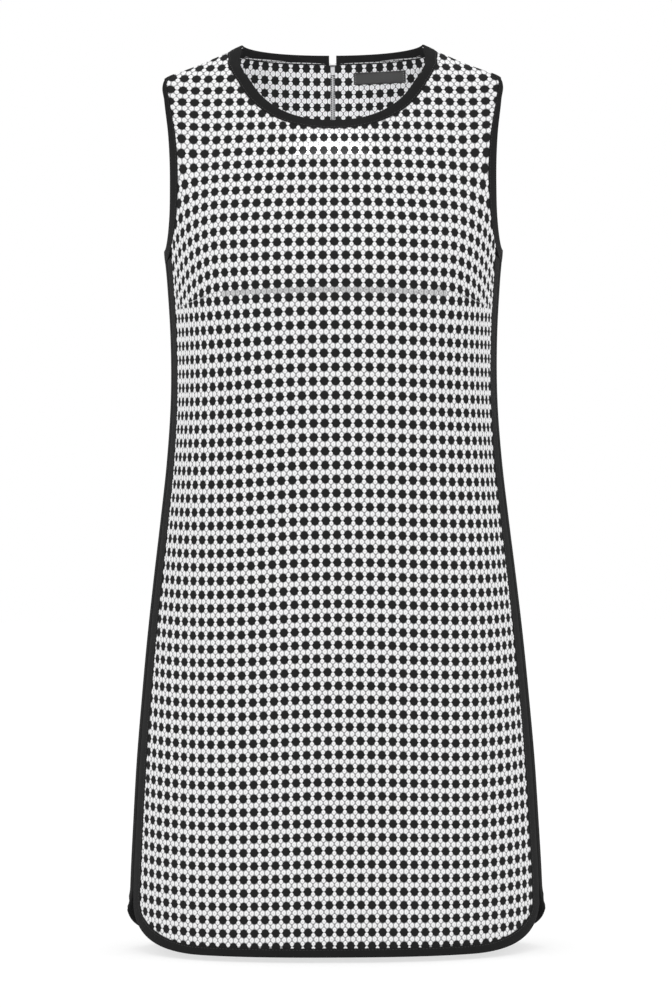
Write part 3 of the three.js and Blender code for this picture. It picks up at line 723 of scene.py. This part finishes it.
def petal_finish():
    """The white raised petals: soft satin threads, painted shade in the middle's dimple and at the rim."""
    finish = Finish("white_petals", roughness=0.75, specular_ior_level=0.25)
    column, row = finish.surface_place()
    out = finish.node("ShaderNodeAttribute", {"attribute_name": "petal"}, output=2)
    place = finish.at(column * MEAN_COLUMN, row * MEAN_ROW)
    fleck = finish.noise(place, 1.1, 2.0)
    thread = ((column + row * 0.7) * (2 * math.pi * MEAN_COLUMN / 0.5)).sine() * 0.5 + 0.5
    # middle: painted shade of the dimple, greying the petal's middle
    middle = out.step(0.0, 0.34, 1.0, 0.0)
    # rim: painted shade, greying the petal towards the rim where it meets the ground
    rim = out.step(0.86, 1.0)
    # the sum mixes this painted shade with the threads' and flecks' own tones
    shade = middle * 0.6 + rim * 0.45 + thread * 0.05 + fleck.step(0.3, 0.8) * 0.12
    finish.colour(finish.mix(shade, (0.88, 0.88, 0.885, 1), (0.36, 0.36, 0.37, 1)))
    finish.bump(thread * 0.4 + fleck * 0.4, 0.12, 0.6)
    return finish.material


def binding_finish(name, rib, light, roughness):
    """Matt black woven strip. Its map has millimetres across, then millimetres along."""
    finish = Finish(name, roughness=roughness, specular_ior_level=0.12)
    across, along = finish.surface_place()
    ribs = (along * (2 * math.pi / rib)).sine() * 0.5 + 0.5
    crossing = (across * (2 * math.pi / (rib * 0.8))).sine() * 0.5 + 0.5
    place = finish.at(across, along)
    fleck = finish.noise(place, 1.3, 3.0, 0.7)
    cloud = finish.noise(place, 0.09, 1.0)
    tone = ribs * crossing * 0.4 + fleck.step(0.3, 0.8) * 0.45 + cloud * 0.15
    finish.colour(finish.mix(tone, grey(0.006), grey(light)))
    finish.bump(ribs * crossing * 0.6 + fleck * 0.5, 0.3, 0.8)
    return finish.material


def metal_finish(name, tone, roughness, scale=1.0):
    """Satin metal with faint brushing and rubbed spots, on Object coordinates."""
    finish = Finish(name, metallic=1.0, roughness=roughness)
    place = finish.node("ShaderNodeTexCoord", output=3)
    stretch = (2200 * scale, 2200 * scale, 260 * scale)
    long = finish.node("ShaderNodeMapping", inputs={"Vector": place, "Scale": stretch})
    brushed = finish.noise(long, 1.0, 3.0)
    rubbed = finish.noise(place, 380.0, 2.0)
    finish.colour(finish.mix(brushed * 0.6 + rubbed * 0.4, grey(tone * 0.6), grey(tone)))
    finish.roughness(brushed * 0.25 + rubbed.step(0.4, 0.7) * 0.12 + (roughness - 0.15))
    finish.bump(brushed, 0.05, 0.4)
    return finish.material


def thread_finish(name, dark, light):
    """Twisted sewing thread, on Object coordinates."""
    finish = Finish(name, roughness=0.7, sheen_weight=0.1)
    place = finish.node("ShaderNodeTexCoord", output=3)
    twist = finish.noise(place, 2400.0, 1.0)
    finish.colour(finish.mix(twist, grey(dark), grey(light)))
    finish.bump(twist, 0.1, 0.6)
    return finish.material


def satin_finish():
    """The label's black satin weave: floats along its length."""
    finish = Finish("label_satin", roughness=0.5, sheen_weight=0.1)
    across, along = finish.surface_place()
    floats = (across * (2 * math.pi / 0.35)).sine() * 0.5 + 0.5
    fleck = finish.noise(finish.at(across * 2.0, along * 0.4), 1.4, 3.0)
    tone = floats * 0.4 + fleck * 0.6
    finish.colour(finish.mix(tone, grey(0.006), grey(0.03)))
    finish.roughness(fleck * 0.25 + 0.38)
    finish.bump(floats * 0.5 + fleck * 0.5, 0.1, 0.6)
    return finish.material


GROUND = cloth_face_finish()
REVERSE = cloth_reverse_finish()
PETALS = petal_finish()
RIBBED = binding_finish("ribbed_binding", 1.0, 0.024, 0.85)
SMOOTH_STRIP = binding_finish("plain_strip", 0.6, 0.016, 0.8)
TAPE = binding_finish("zip_tape_weave", 0.8, 0.026, 0.75)
SATIN = satin_finish()
STEEL = metal_finish("satin_nickel", 0.4, 0.36)
TEETH_METAL = metal_finish("zip_teeth_nickel", 0.5, 0.5, 1.6)
CORD = binding_finish("zip_cord_weave", 0.7, 0.2, 0.7)
BLACK_THREAD = thread_finish("black_thread", 0.006, 0.03)
GREY_THREAD = thread_finish("grey_thread", 0.12, 0.3)

# ---- panels ----


DART_ROWS = (-242, -268)  # the heights where the rows of points lie closer, round the bust darts


def panel_heights():
    """The heights of a panel's rows of points, closer together at the shoulder and round the hem."""
    grow = BINDING_WIDTH - TUCK
    top = -NECK["shoulder_drop"] * grow / BINDING_WIDTH - 0.2
    low = -DRESS_LENGTH + grow
    corner = np.linspace(0, math.pi / 2, 20)
    drop = low - VENT["top"]
    shoulder = np.linspace(top, -38, 26)
    chest = np.linspace(-40, DART_ROWS[0] + 3, 49)
    dart_rows = np.arange(DART_ROWS[0], DART_ROWS[1], -1.2)
    skirt = np.linspace(DART_ROWS[1] - 3, VENT["top"] + 2, 136)
    return np.concatenate([shoulder, chest, dart_rows, skirt, VENT["top"] + drop * np.sin(corner)])


def half_panel_arrays(face, side, cols=46):
    z = panel_heights()
    inner, outer = panel_reach(face, z, TUCK)
    share = np.linspace(0, 1, cols)
    u = side * (inner[:, None] + (outer - inner)[:, None] * share[None, :])
    zz = np.broadcast_to(z[:, None], u.shape)
    return u, zz, inner


def half_panel_mesh(face, side):
    u, z, inner = half_panel_arrays(face, side)
    rows, cols = u.shape
    layers = [on_cloth(face, u, z, h).reshape(-1, 3) for h in (CLOTH_WALL / 2, -CLOTH_WALL / 2)]
    above = z > dart_height(u)
    column, row = lattice(face, u, z, above & (face == "front"))
    uv = np.stack([column.ravel(), row.ravel()], axis=1)
    count = rows * cols
    outer_face = grid_faces(rows, cols)
    inner_face = grid_faces(rows, cols, count)[:, ::-1]
    rim = []
    right = np.arange(rows) * cols + cols - 1
    left = np.arange(rows) * cols
    for i in range(rows - 1):
        rim.append((right[i], right[i + 1], count + right[i + 1], count + right[i]))
        if max(inner[i], inner[i + 1]) > 1e-6:
            rim.append((left[i + 1], left[i], count + left[i], count + left[i + 1]))
    for i in range(cols - 1):
        a, b = (rows - 1) * cols + i, (rows - 1) * cols + i + 1
        rim.append((a, b, count + b, count + a)[::-1])
        rim.append((i, i + 1, count + i + 1, count + i))
    faces = np.concatenate([outer_face, inner_face, np.array(rim)])
    finish = np.zeros(len(faces), int)
    finish[len(outer_face):len(outer_face) + len(inner_face)] = 1
    return np.concatenate(layers), faces, finish, np.concatenate([uv, uv])


def cloth_panel(name, face, sides):
    vertices, faces, finish, uv = [], [], [], []
    for side in sides:
        v, f, m, t = half_panel_mesh(face, side)
        faces.append(f + sum(len(part) for part in vertices))
        vertices.append(v)
        finish.append(m)
        uv.append(t)
    piece = new_piece(name, np.concatenate(vertices), np.concatenate(faces), [GROUND, REVERSE],
                      np.concatenate(finish), np.concatenate(uv))
    bm = bmesh.new()
    bm.from_mesh(piece.data)
    bmesh.ops.remove_doubles(bm, verts=bm.verts, dist=0.002 * MM)
    bmesh.ops.recalc_face_normals(bm, faces=bm.faces)
    if bm.calc_volume(signed=True) < 0:
        bmesh.ops.reverse_faces(bm, faces=bm.faces)
    bm.to_mesh(piece.data)
    bm.free()
    sharpen(piece, 50)
    return piece


# ---- raised petals ----

PETAL_POINTS = 8
PETAL_HEIGHT = 0.6
DIMPLE_HEIGHT = 0.42


def petal_template(petal, sideways):
    """Offsets of a petal's points from its crossing point, with heights and places from the middle out."""
    angle = np.arange(PETAL_POINTS) * 2 * math.pi / PETAL_POINTS + math.pi / PETAL_POINTS
    far, near = np.cos(angle), np.sin(angle)
    squared = (np.abs(far) ** 2.6 + np.abs(near) ** 2.6) ** (-1 / 2.6)
    far, near = far * squared, near * squared
    near = near * np.where(far < 0, 1 + 0.42 * far, 1)
    rings = []
    for reach, height, out in ((0.58, PETAL_HEIGHT, 0.5), (1.0, 0.0, 1.0)):
        rings.append(np.stack([far * reach, near * reach, np.full(PETAL_POINTS, height),
                               np.full(PETAL_POINTS, out)], axis=1))
    points = np.concatenate([[[0, 0, DIMPLE_HEIGHT, 0]], *rings])
    lengths = (petal["wide"], petal["high"]) if sideways else (petal["high"], petal["wide"])
    points[:, 0] = points[:, 0] * lengths[0] + petal["off"]
    points[:, 1] *= lengths[1]
    return points


def petal_faces():
    faces = []
    for i in range(PETAL_POINTS):
        j = (i + 1) % PETAL_POINTS
        a, b = 1 + i, 1 + j
        c, d = 1 + PETAL_POINTS + i, 1 + PETAL_POINTS + j
        faces += [(0, a, b), (a, c, d), (a, d, b)]
    return np.array(faces)


def four_petals():
    """The cross of petals round a crossing point: columns, rows, heights and places from the middle."""
    out = []
    for petal, sideways in ((SIDEWAYS_PETAL, True), (UPRIGHT_PETAL, False)):
        for sign in (1, -1):
            p = petal_template(petal, sideways)
            if sideways:
                cross = np.stack([p[:, 0] * sign, p[:, 1] * sign, p[:, 2], p[:, 3]], axis=1)
            else:
                cross = np.stack([p[:, 1] * -sign, p[:, 0] * sign, p[:, 2], p[:, 3]], axis=1)
            out.append(cross)
    return np.array(out)


def crossing_points(face, side):
    """Column and row numbers of the crossing points that can fall on one half of a face."""
    last_row = int(ROW_NUMBERS[face][-1]) + 1
    first_row = int(ROW_NUMBERS[face][0]) - 1
    columns = np.arange(-1, 24) * side + 0.5 if face == "front" else np.arange(0, 24) * side + 0.5
    column, row = np.meshgrid(columns, np.arange(first_row, last_row) + 0.5)
    return column.ravel(), row.ravel()


def petals_on_half(name, face, side):
    """All the petals of one half of a face, joined as one piece. They go under the bindings at an edge.

    Inwards of a bust dart's tip, a petal that crosses the dart's height is laid twice in one place.
    """
    column, row = crossing_points(face, side)
    cross = four_petals()
    column = column[:, None, None] + cross[None, :, :, 0]
    row = row[:, None, None] + cross[None, :, :, 1]
    height = np.broadcast_to(cross[None, :, :, 2], column.shape)
    out = np.broadcast_to(cross[None, :, :, 3], column.shape)
    flat = lambda a: a.reshape(-1, a.shape[-1])
    column, row, height, out = flat(column), flat(row), flat(height), flat(out)
    column = column + 0.014 * np.sin(column[:, :1] * 91.7 + row[:, :1] * 37.1)
    row = row + 0.012 * np.sin(column[:, :1] * 53.3 + row[:, :1] * 71.9)
    kept = []
    for above in ((True, False) if face == "front" else (False,)):
        u, z = lay(face, column, row, above)
        inner, outer = panel_reach(face, z, -SEAM_GAP)
        margin = np.minimum(outer - np.abs(u), np.where(inner > 0.5, np.abs(u) - inner, 99))
        margin = np.minimum(margin, z + DRESS_LENGTH - BINDING_WIDTH)
        margin = np.minimum(margin, -NECK["shoulder_drop"] - z)
        good = margin.max(axis=1) > 0.1
        good &= (u[:, 0] * side > 0) | ((u[:, 0] == 0) & (side > 0))
        if face == "front":
            on_this_side = (z > dart_height(u)) == above
            good &= on_this_side.any(axis=1)
            past_tip = np.abs(u) > DART["tip"]
            margin = np.where(past_tip & ~on_this_side, -1, margin)
        kept.append([a[good] for a in (u, z, margin, height, out, column, row)])
    u, z, margin, height, out, column, row = (np.concatenate(parts) for parts in zip(*kept))
    rise = np.where(margin > 0, height, np.where(margin > -0.6, 0, -0.4))
    jitter = 1 + 0.09 * np.sin(column[:, :1] * 12.9898 + row[:, :1] * 78.233)
    points = on_cloth(face, u, z, CLOTH_WALL / 2 - 0.05 + rise * jitter)
    count, per = u.shape
    faces = (petal_faces()[None] + (np.arange(count) * per)[:, None, None]).reshape(-1, 3)
    uv = np.stack([column.ravel(), row.ravel()], axis=1)
    piece = new_piece(name, points.reshape(-1, 3), faces, [PETALS], uv=uv, values={"petal": out.ravel()})
    return piece


# ---- bindings ----

# A binding's section, from its inner edge on the wrong side round the dress's edge to the right side:
# share of the width in from the dress's edge, and height in half walls.
BINDING_SECTION = [
    (1.0, -0.95), (0.75, -1.0), (0.4, -1.02), (0.12, -0.98), (0.035, -0.72), (0.0, -0.25), (0.0, 0.25),
    (0.035, 0.74), (0.12, 1.0), (0.4, 1.1), (0.72, 1.1), (0.84, 1.0), (0.93, 1.06), (0.99, 0.98), (1.0, 0.66),
]


def travelled(points):
    """The way along a line of points, in millimetres."""
    steps = np.linalg.norm(np.diff(points, axis=0), axis=1)
    return np.concatenate([[0], np.cumsum(steps)])


def binding_rings(edge, inner, place):
    """Rings of a binding. edge and inner are the strip's two edges, and place lifts points off the skin."""
    rings = []
    for share, height in BINDING_SECTION:
        a = edge[0] + (inner[0] - edge[0]) * share
        z = edge[1] + (inner[1] - edge[1]) * share
        rings.append(place(a, z, height * BINDING_WALL / 2))
    return np.stack(rings, axis=1)


def binding_map(rings, width):
    run = travelled(rings[:, len(BINDING_SECTION) // 2])
    section = np.array([share * width * (1 if height > 0 else -1) for share, height in BINDING_SECTION])
    return np.stack(np.broadcast_arrays(section[None, :], run[:, None]), axis=-1)


def neck_binding():
    sides = []
    for side in (-1, 1):
        front = binding_rings(neck_edge(0), neck_edge(BINDING_WIDTH),
                              lambda u, z, h: on_cloth("front", u * side, z, h))
        edge, inner = back_neck_edge(0), back_neck_edge(BINDING_WIDTH)
        back = binding_rings([a[::-1] for a in edge], [a[::-1] for a in inner],
                             lambda u, z, h: on_cloth("back", u * side, z, h))
        sides.append(np.concatenate([front[:-1], back]))
    rings = np.concatenate([sides[0][::-1], sides[1][1:]])
    return sweep("neck_binding_tape", rings, RIBBED, binding_map(rings, BINDING_WIDTH))


def armhole_binding(name, side):
    parts = []
    for face in ("front", "back"):
        rings = binding_rings(armhole_edge(face, 0), armhole_edge(face, ARMHOLE_STRIP),
                              lambda t, z, h, face=face: lifted(side, t, z, face, h))
        parts.append(rings if face == "front" else rings[1:-1][::-1])
    rings = np.concatenate(parts)
    return sweep(name, rings, RIBBED, binding_map(rings, ARMHOLE_STRIP), closed=True)


def edge_binding(name, face, finish):
    strip = SIDE_STRIPS[face]
    edge = side_and_hem_edge(face, strip["start"], 0, 0)
    inner = side_and_hem_edge(face, strip["start"], strip["width"], BINDING_WIDTH)
    sides = [binding_rings(edge, inner, lambda t, z, h: lifted(side, t, z, face, h)) for side in (-1, 1)]
    rings = np.concatenate([sides[0][:-1], sides[1][::-1]])
    return sweep(name, rings, finish, binding_map(rings, strip["width"]))


# ---- stitches ----


def lumps(name, centres, along, out, size, finish):
    """Small rounded stitches, joined as one piece. along and out are directions, size is half sizes."""
    along = along / np.linalg.norm(along, axis=1, keepdims=True)
    across = np.cross(along, out)
    across /= np.linalg.norm(across, axis=1, keepdims=True)
    out = np.cross(across, along)
    template = [(-1, 0, -0.4)]
    for reach in (-0.6, 0.6):
        for angle in np.arange(6) * math.pi / 3:
            template.append((reach, math.cos(angle), math.sin(angle)))
    template.append((1, 0, -0.4))
    t = np.array(template)
    points = centres[:, None] + along[:, None] * (t[:, :1] * size[0])[None]
    points = points + across[:, None] * (t[:, 1:2] * size[1])[None]
    points = points + out[:, None] * (t[:, 2:] * size[2])[None]
    faces = []
    for i in range(6):
        j = (i + 1) % 6
        faces += [(0, 1 + j, 1 + i), (1 + i, 1 + j, 7 + j), (1 + i, 7 + j, 7 + i), (7 + i, 7 + j, 13)]
    faces = (np.array(faces)[None] + (np.arange(len(centres)) * len(t))[:, None, None]).reshape(-1, 3)
    piece = new_piece(name, points.reshape(-1, 3), faces, [finish])
    face_outwards(piece)
    return piece


def stitch_line(line, raised, spacing):
    """Centres, directions and outward directions of stitches along a line of points."""
    run = travelled(line)
    count = max(int(run[-1] / spacing), 2)
    places = (np.arange(count) + 0.5) * run[-1] / count
    at = lambda points, s: np.stack([np.interp(s, run, points[:, k]) for k in range(3)], axis=1)
    centres = at(line, places)
    return centres, at(line, places + 0.5) - at(line, places - 0.5), at(raised, places) - centres


def binding_stitches():
    """A row of stitches along the inner edge of every binding, on the right side."""
    share = 0.84
    lines = []

    def add(edge, inner, place):
        a = edge[0] + (inner[0] - edge[0]) * share
        z = edge[1] + (inner[1] - edge[1]) * share
        lines.append((place(a, z, BINDING_WALL / 2 + 0.02), place(a, z, BINDING_WALL / 2 + 1)))

    for side in (-1, 1):
        add(neck_edge(0), neck_edge(BINDING_WIDTH), lambda u, z, h: on_cloth("front", u * side, z, h))
        add(back_neck_edge(0), back_neck_edge(BINDING_WIDTH),
            lambda u, z, h: on_cloth("back", u * side, z, h))
        for face in ("front", "back"):
            add(armhole_edge(face, 0), armhole_edge(face, ARMHOLE_STRIP),
                lambda t, z, h: lifted(side, t, z, face, h))
            strip = SIDE_STRIPS[face]
            add(side_and_hem_edge(face, strip["start"], 0, 0),
                side_and_hem_edge(face, strip["start"], strip["width"], BINDING_WIDTH),
                lambda t, z, h: lifted(side, t, z, face, h))
    found = [stitch_line(line, raised, 3.2) for line, raised in lines]
    centres, along, out = (np.concatenate(parts) for parts in zip(*found))
    return lumps("binding_stitches", centres, along, out, (1.15, 0.2, 0.16), BLACK_THREAD)


# ---- zip and label ----


def flat_strip(name, face, from_u, to_u, heights, low, high, finish, cols=6):
    """A flat strip down a face between two ways round, between two heights off the skin."""
    section = [(f, 1) for f in np.linspace(0, 1, cols)] + [(f, 0) for f in np.linspace(1, 0, cols)]
    rings = []
    for share, upper in section:
        u = from_u + (to_u - from_u) * share
        rings.append(on_cloth(face, u, heights, high if upper else low))
    rings = np.stack(rings, axis=1)
    run = travelled(rings[:, 0])
    across = np.array([share * abs(to_u - from_u) for share, _ in section])
    uv = np.stack(np.broadcast_arrays(across[None, :], run[:, None]), axis=-1)
    return sweep(name, rings, finish, uv)


def zip_tape(name, sign):
    low = CLOTH_WALL / 2 + SEAM_GAP
    heights = np.linspace(ZIP["tape_top"], ZIP["tape_bottom"], 100)
    start = sign * (ZIP["half_chain"] + SEAM_GAP)
    end = sign * (ZIP["edge"] + ZIP["tape_width"])
    return flat_strip(name, "back", start, end, heights, low, low + ZIP["tape_wall"], TAPE)


TOOTH = {"pitch": 2.1, "high": 1.25, "from_centre": -0.75, "to": 2.05, "low": -1.05, "top": 1.5}


def zip_teeth():
    """Metal teeth that mesh down the centre back: each has a narrow root and a wider head."""
    outline = [(2.05, -0.42), (1.1, -0.42), (0.5, -0.62), (-0.3, -0.62), (-0.75, -0.3),
               (-0.75, 0.3), (-0.3, 0.62), (0.5, 0.62), (1.1, 0.42), (2.05, 0.42)]
    outline = np.array(outline)
    count = int((ZIP["chain_top"] - ZIP["bottom"]) / TOOTH["pitch"])
    sides = len(outline)
    points, faces = [], []
    levels = ((TOOTH["low"], 0.82), (TOOTH["low"] + 0.25, 1.0),
              (TOOTH["top"] - 0.25, 1.0), (TOOTH["top"], 0.82))
    for sign in (-1, 1):
        z0 = ZIP["chain_top"] - TOOTH["pitch"] * (np.arange(count) + (0.35 if sign < 0 else 0.85))
        for middle in z0:
            first = len(points) * sides
            for level, share in levels:
                mean = outline.mean(axis=0)
                shape = mean + (outline - mean) * share
                points.append(on_cloth("back", sign * shape[:, 0], middle + shape[:, 1], level))
            for k in range(len(levels) - 1):
                for i in range(sides):
                    j = (i + 1) % sides
                    a, b = first + k * sides + i, first + k * sides + j
                    quad = (a, b, b + sides, a + sides)
                    faces.append(quad if sign > 0 else quad[::-1])
            lower = tuple(first + i for i in range(sides))
            upper = tuple(first + (len(levels) - 1) * sides + i for i in range(sides))
            faces.append(lower[::-1] if sign > 0 else lower)
            faces.append(upper if sign > 0 else upper[::-1])
    piece = new_piece("zip_teeth", np.concatenate(points), faces, [TEETH_METAL])
    bm = bmesh.new()
    bm.from_mesh(piece.data)
    bmesh.ops.recalc_face_normals(bm, faces=bm.faces)
    bm.to_mesh(piece.data)
    bm.free()
    sharpen(piece, 35)
    return piece


def zip_cord():
    """The woven cord that the teeth grip, which closes the gaps between them."""
    heights = np.linspace(ZIP["chain_top"], ZIP["bottom"], 100)
    half = ZIP["half_chain"]
    return flat_strip("zip_cord", "back", -half, half, heights, -0.7, 0.9, CORD)


def tape_stitches():
    heights = np.linspace(ZIP["tape_top"] - 1, ZIP["tape_bottom"] + 2, 120)
    top = CLOTH_WALL / 2 + SEAM_GAP + ZIP["tape_wall"]
    found = []
    for u in (-9.3, -6.2, 6.2, 9.3):
        line = on_cloth("back", np.full(120, u), heights, top + 0.02)
        raised = on_cloth("back", np.full(120, u), heights, top + 1)
        found.append(stitch_line(line, raised, 2.8))
    centres, along, out = (np.concatenate(parts) for parts in zip(*found))
    return lumps("zip_tape_stitches", centres, along, out, (1.0, 0.2, 0.16), BLACK_THREAD)


def label_strip():
    """The bare label sewn inside the back neck."""
    high = -CLOTH_WALL / 2 - SEAM_GAP
    low = high - LABEL["wall"]
    u = np.linspace(LABEL["start"], LABEL["start"] + LABEL["width"], 40)
    top = LABEL["top"] + LABEL["tilt"] * (u - LABEL["start"])
    section = [(f, 1) for f in np.linspace(0, 1, 7)] + [(f, 0) for f in np.linspace(1, 0, 7)]
    rings = np.stack([on_cloth("back", u, top - LABEL["height"] * share, high if upper else low)
                      for share, upper in section], axis=1)
    across = np.array([share * LABEL["height"] for share, _ in section])
    uv = np.stack(np.broadcast_arrays(across[None, :], (u - u[0])[:, None]), axis=-1)
    return sweep("label_strip", rings, SATIN, uv)


def label_stitches():
    """Short grey stitches that hold the label's two ends."""
    inside = -CLOTH_WALL / 2 - SEAM_GAP - LABEL["wall"]
    centres, along, out = [], [], []
    for u in (LABEL["start"] + 1.6, LABEL["start"] + LABEL["width"] - 1.6):
        top = LABEL["top"] + LABEL["tilt"] * (u - LABEL["start"])
        z = top - np.linspace(1.4, LABEL["height"] - 1.4, 5)
        place = on_cloth("back", np.full(5, u), z, inside - 0.02)
        centres.append(place)
        further = on_cloth("back", np.full(5, u + 1), z, inside)
        nearer = on_cloth("back", np.full(5, u - 1), z, inside)
        along.append(further - nearer)
        out.append(on_cloth("back", np.full(5, u), z, inside - 1) - place)
    joined = [np.concatenate(parts) for parts in (centres, along, out)]
    return lumps("label_stitches", *joined, (0.8, 0.2, 0.16), GREY_THREAD)


# ---- the dress ----

front = cloth_panel("front_cloth", "front", (-1, 1))
back_left = cloth_panel("back_left_cloth", "back", (-1,))
back_right = cloth_panel("back_right_cloth", "back", (1,))
front_petals = [petals_on_half("front_petals_left", "front", -1),
                petals_on_half("front_petals_right", "front", 1)]
back_petals = [petals_on_half("back_petals_left", "back", -1),
               petals_on_half("back_petals_right", "back", 1)]
neck = neck_binding()
armhole_left = armhole_binding("armhole_tape_left", -1)
armhole_right = armhole_binding("armhole_tape_right", 1)
front_edge = edge_binding("front_edge_tape", "front", RIBBED)
back_edge = edge_binding("back_edge_strip", "back", SMOOTH_STRIP)
stitches = binding_stitches()
tape_left = zip_tape("zip_tape_left_cloth", -1)
tape_right = zip_tape("zip_tape_right_cloth", 1)
teeth = zip_teeth()
cord = zip_cord()
tape_threads = tape_stitches()
label = label_strip()
label_threads = label_stitches()

STANDS_FOR = [
    (front, "front_panel", "patterned_cloth"),
    (back_left, "back_panel_left", "patterned_cloth"),
    (back_right, "back_panel_right", "patterned_cloth"),
    (neck, "neck_binding", "binding"),
    (armhole_left, "armhole_binding_left", "binding"),
    (armhole_right, "armhole_binding_right", "binding"),
    (front_edge, "front_edge_binding", "binding"),
    (back_edge, "back_edge_binding", "binding"),
    (tape_left, "zip_tape_left", "zip_tape"),
    (tape_right, "zip_tape_right", "zip_tape"),
    (teeth, "zip_chain", "zip_metal"),
    (label, "label", "label"),
]
for piece, node, slot in STANDS_FOR:
    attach(piece, "dress")
    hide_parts(node)
for piece in (*front_petals, *back_petals):
    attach(piece, "dress")
TRIMMINGS = [(stitches, "binding"), (tape_threads, "zip_tape"), (cord, "zip_tape"), (label_threads, "label")]
for piece, slot in TRIMMINGS:
    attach(piece, "dress")
for node in ("zip_slider", "zip_pull"):
    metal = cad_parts[node]
    metal.data.materials.clear()
    metal.data.materials.append(STEEL)

# ---- studio ----

FLOOR_Z = -0.876


def pale_floor():
    mesh = bpy.data.meshes.new("floor")
    reach = 14.0
    corners = [(-reach, -reach), (reach, -reach), (reach, reach), (-reach, reach)]
    mesh.from_pydata([(x, y, FLOOR_Z) for x, y in corners], [], [(0, 1, 2, 3)])
    floor = bpy.data.objects.new("floor", mesh)
    bpy.context.scene.collection.objects.link(floor)
    finish = Finish("pale_floor", roughness=0.9)
    finish.shader.inputs["Base Color"].default_value = (0.36, 0.36, 0.36, 1)
    finish.shader.inputs["Specular IOR Level"].default_value = 0.0
    finish.shader.inputs["Emission Color"].default_value = (1, 1, 1, 1)
    finish.shader.inputs["Emission Strength"].default_value = 0.66
    mesh.materials.append(finish.material)


def soft_light(name, place, target, size, power):
    light = bpy.data.lights.new(name, "AREA")
    light.shape = "DISK"
    light.size = size
    light.energy = power
    lamp = bpy.data.objects.new(name, light)
    lamp.location = place
    lamp.rotation_euler = (Vector(target) - Vector(place)).to_track_quat("-Z", "Y").to_euler()
    bpy.context.scene.collection.objects.link(lamp)


def studio():
    pale_floor()
    world = bpy.data.worlds.new("studio")
    world.use_nodes = True
    background = world.node_tree.nodes["Background"]
    background.inputs["Color"].default_value = (1, 1, 1, 1)
    background.inputs["Strength"].default_value = 1.0
    bpy.context.scene.world = world
    soft_light("front_left_light", (-2.2, -3.4, 1.2), (0, 0, -0.45), 2.2, 12)
    soft_light("front_right_light", (2.4, -3.2, 0.8), (0, 0, -0.45), 2.2, 7)
    soft_light("top_light", (0, -0.4, 2.4), (0, 0, -0.5), 2.4, 14)
    soft_light("inner_light", (0, -0.04, -0.15), (0, 0.09, -0.045), 0.12, 0.17)
    view = bpy.context.scene.view_settings
    view.view_transform = "Standard"
    view.look = "None"
    view.exposure = 0.0


CAMERA = {"distance": 3.1, "z": -0.49, "look_z": -0.4458, "x": 0.0014, "frame_height": 0.978, "roll": -0.25}


def set_camera():
    data = bpy.data.cameras.new("camera")
    data.sensor_fit = "VERTICAL"
    data.sensor_height = 36
    data.lens = 36 * CAMERA["distance"] / CAMERA["frame_height"]
    data.clip_end = 60
    camera = bpy.data.objects.new("camera", data)
    camera.location = (CAMERA["x"], -CAMERA["distance"], CAMERA["z"])
    aim = Vector((CAMERA["x"], 0, CAMERA["look_z"])) - camera.location
    turn = aim.to_track_quat("-Z", "Y").to_matrix().to_4x4()
    roll = math.radians(CAMERA["roll"])
    camera.rotation_euler = (turn @ Matrix.Rotation(roll, 4, "Z")).to_euler()
    bpy.context.scene.collection.objects.link(camera)
    bpy.context.scene.camera = camera


studio()
set_camera()
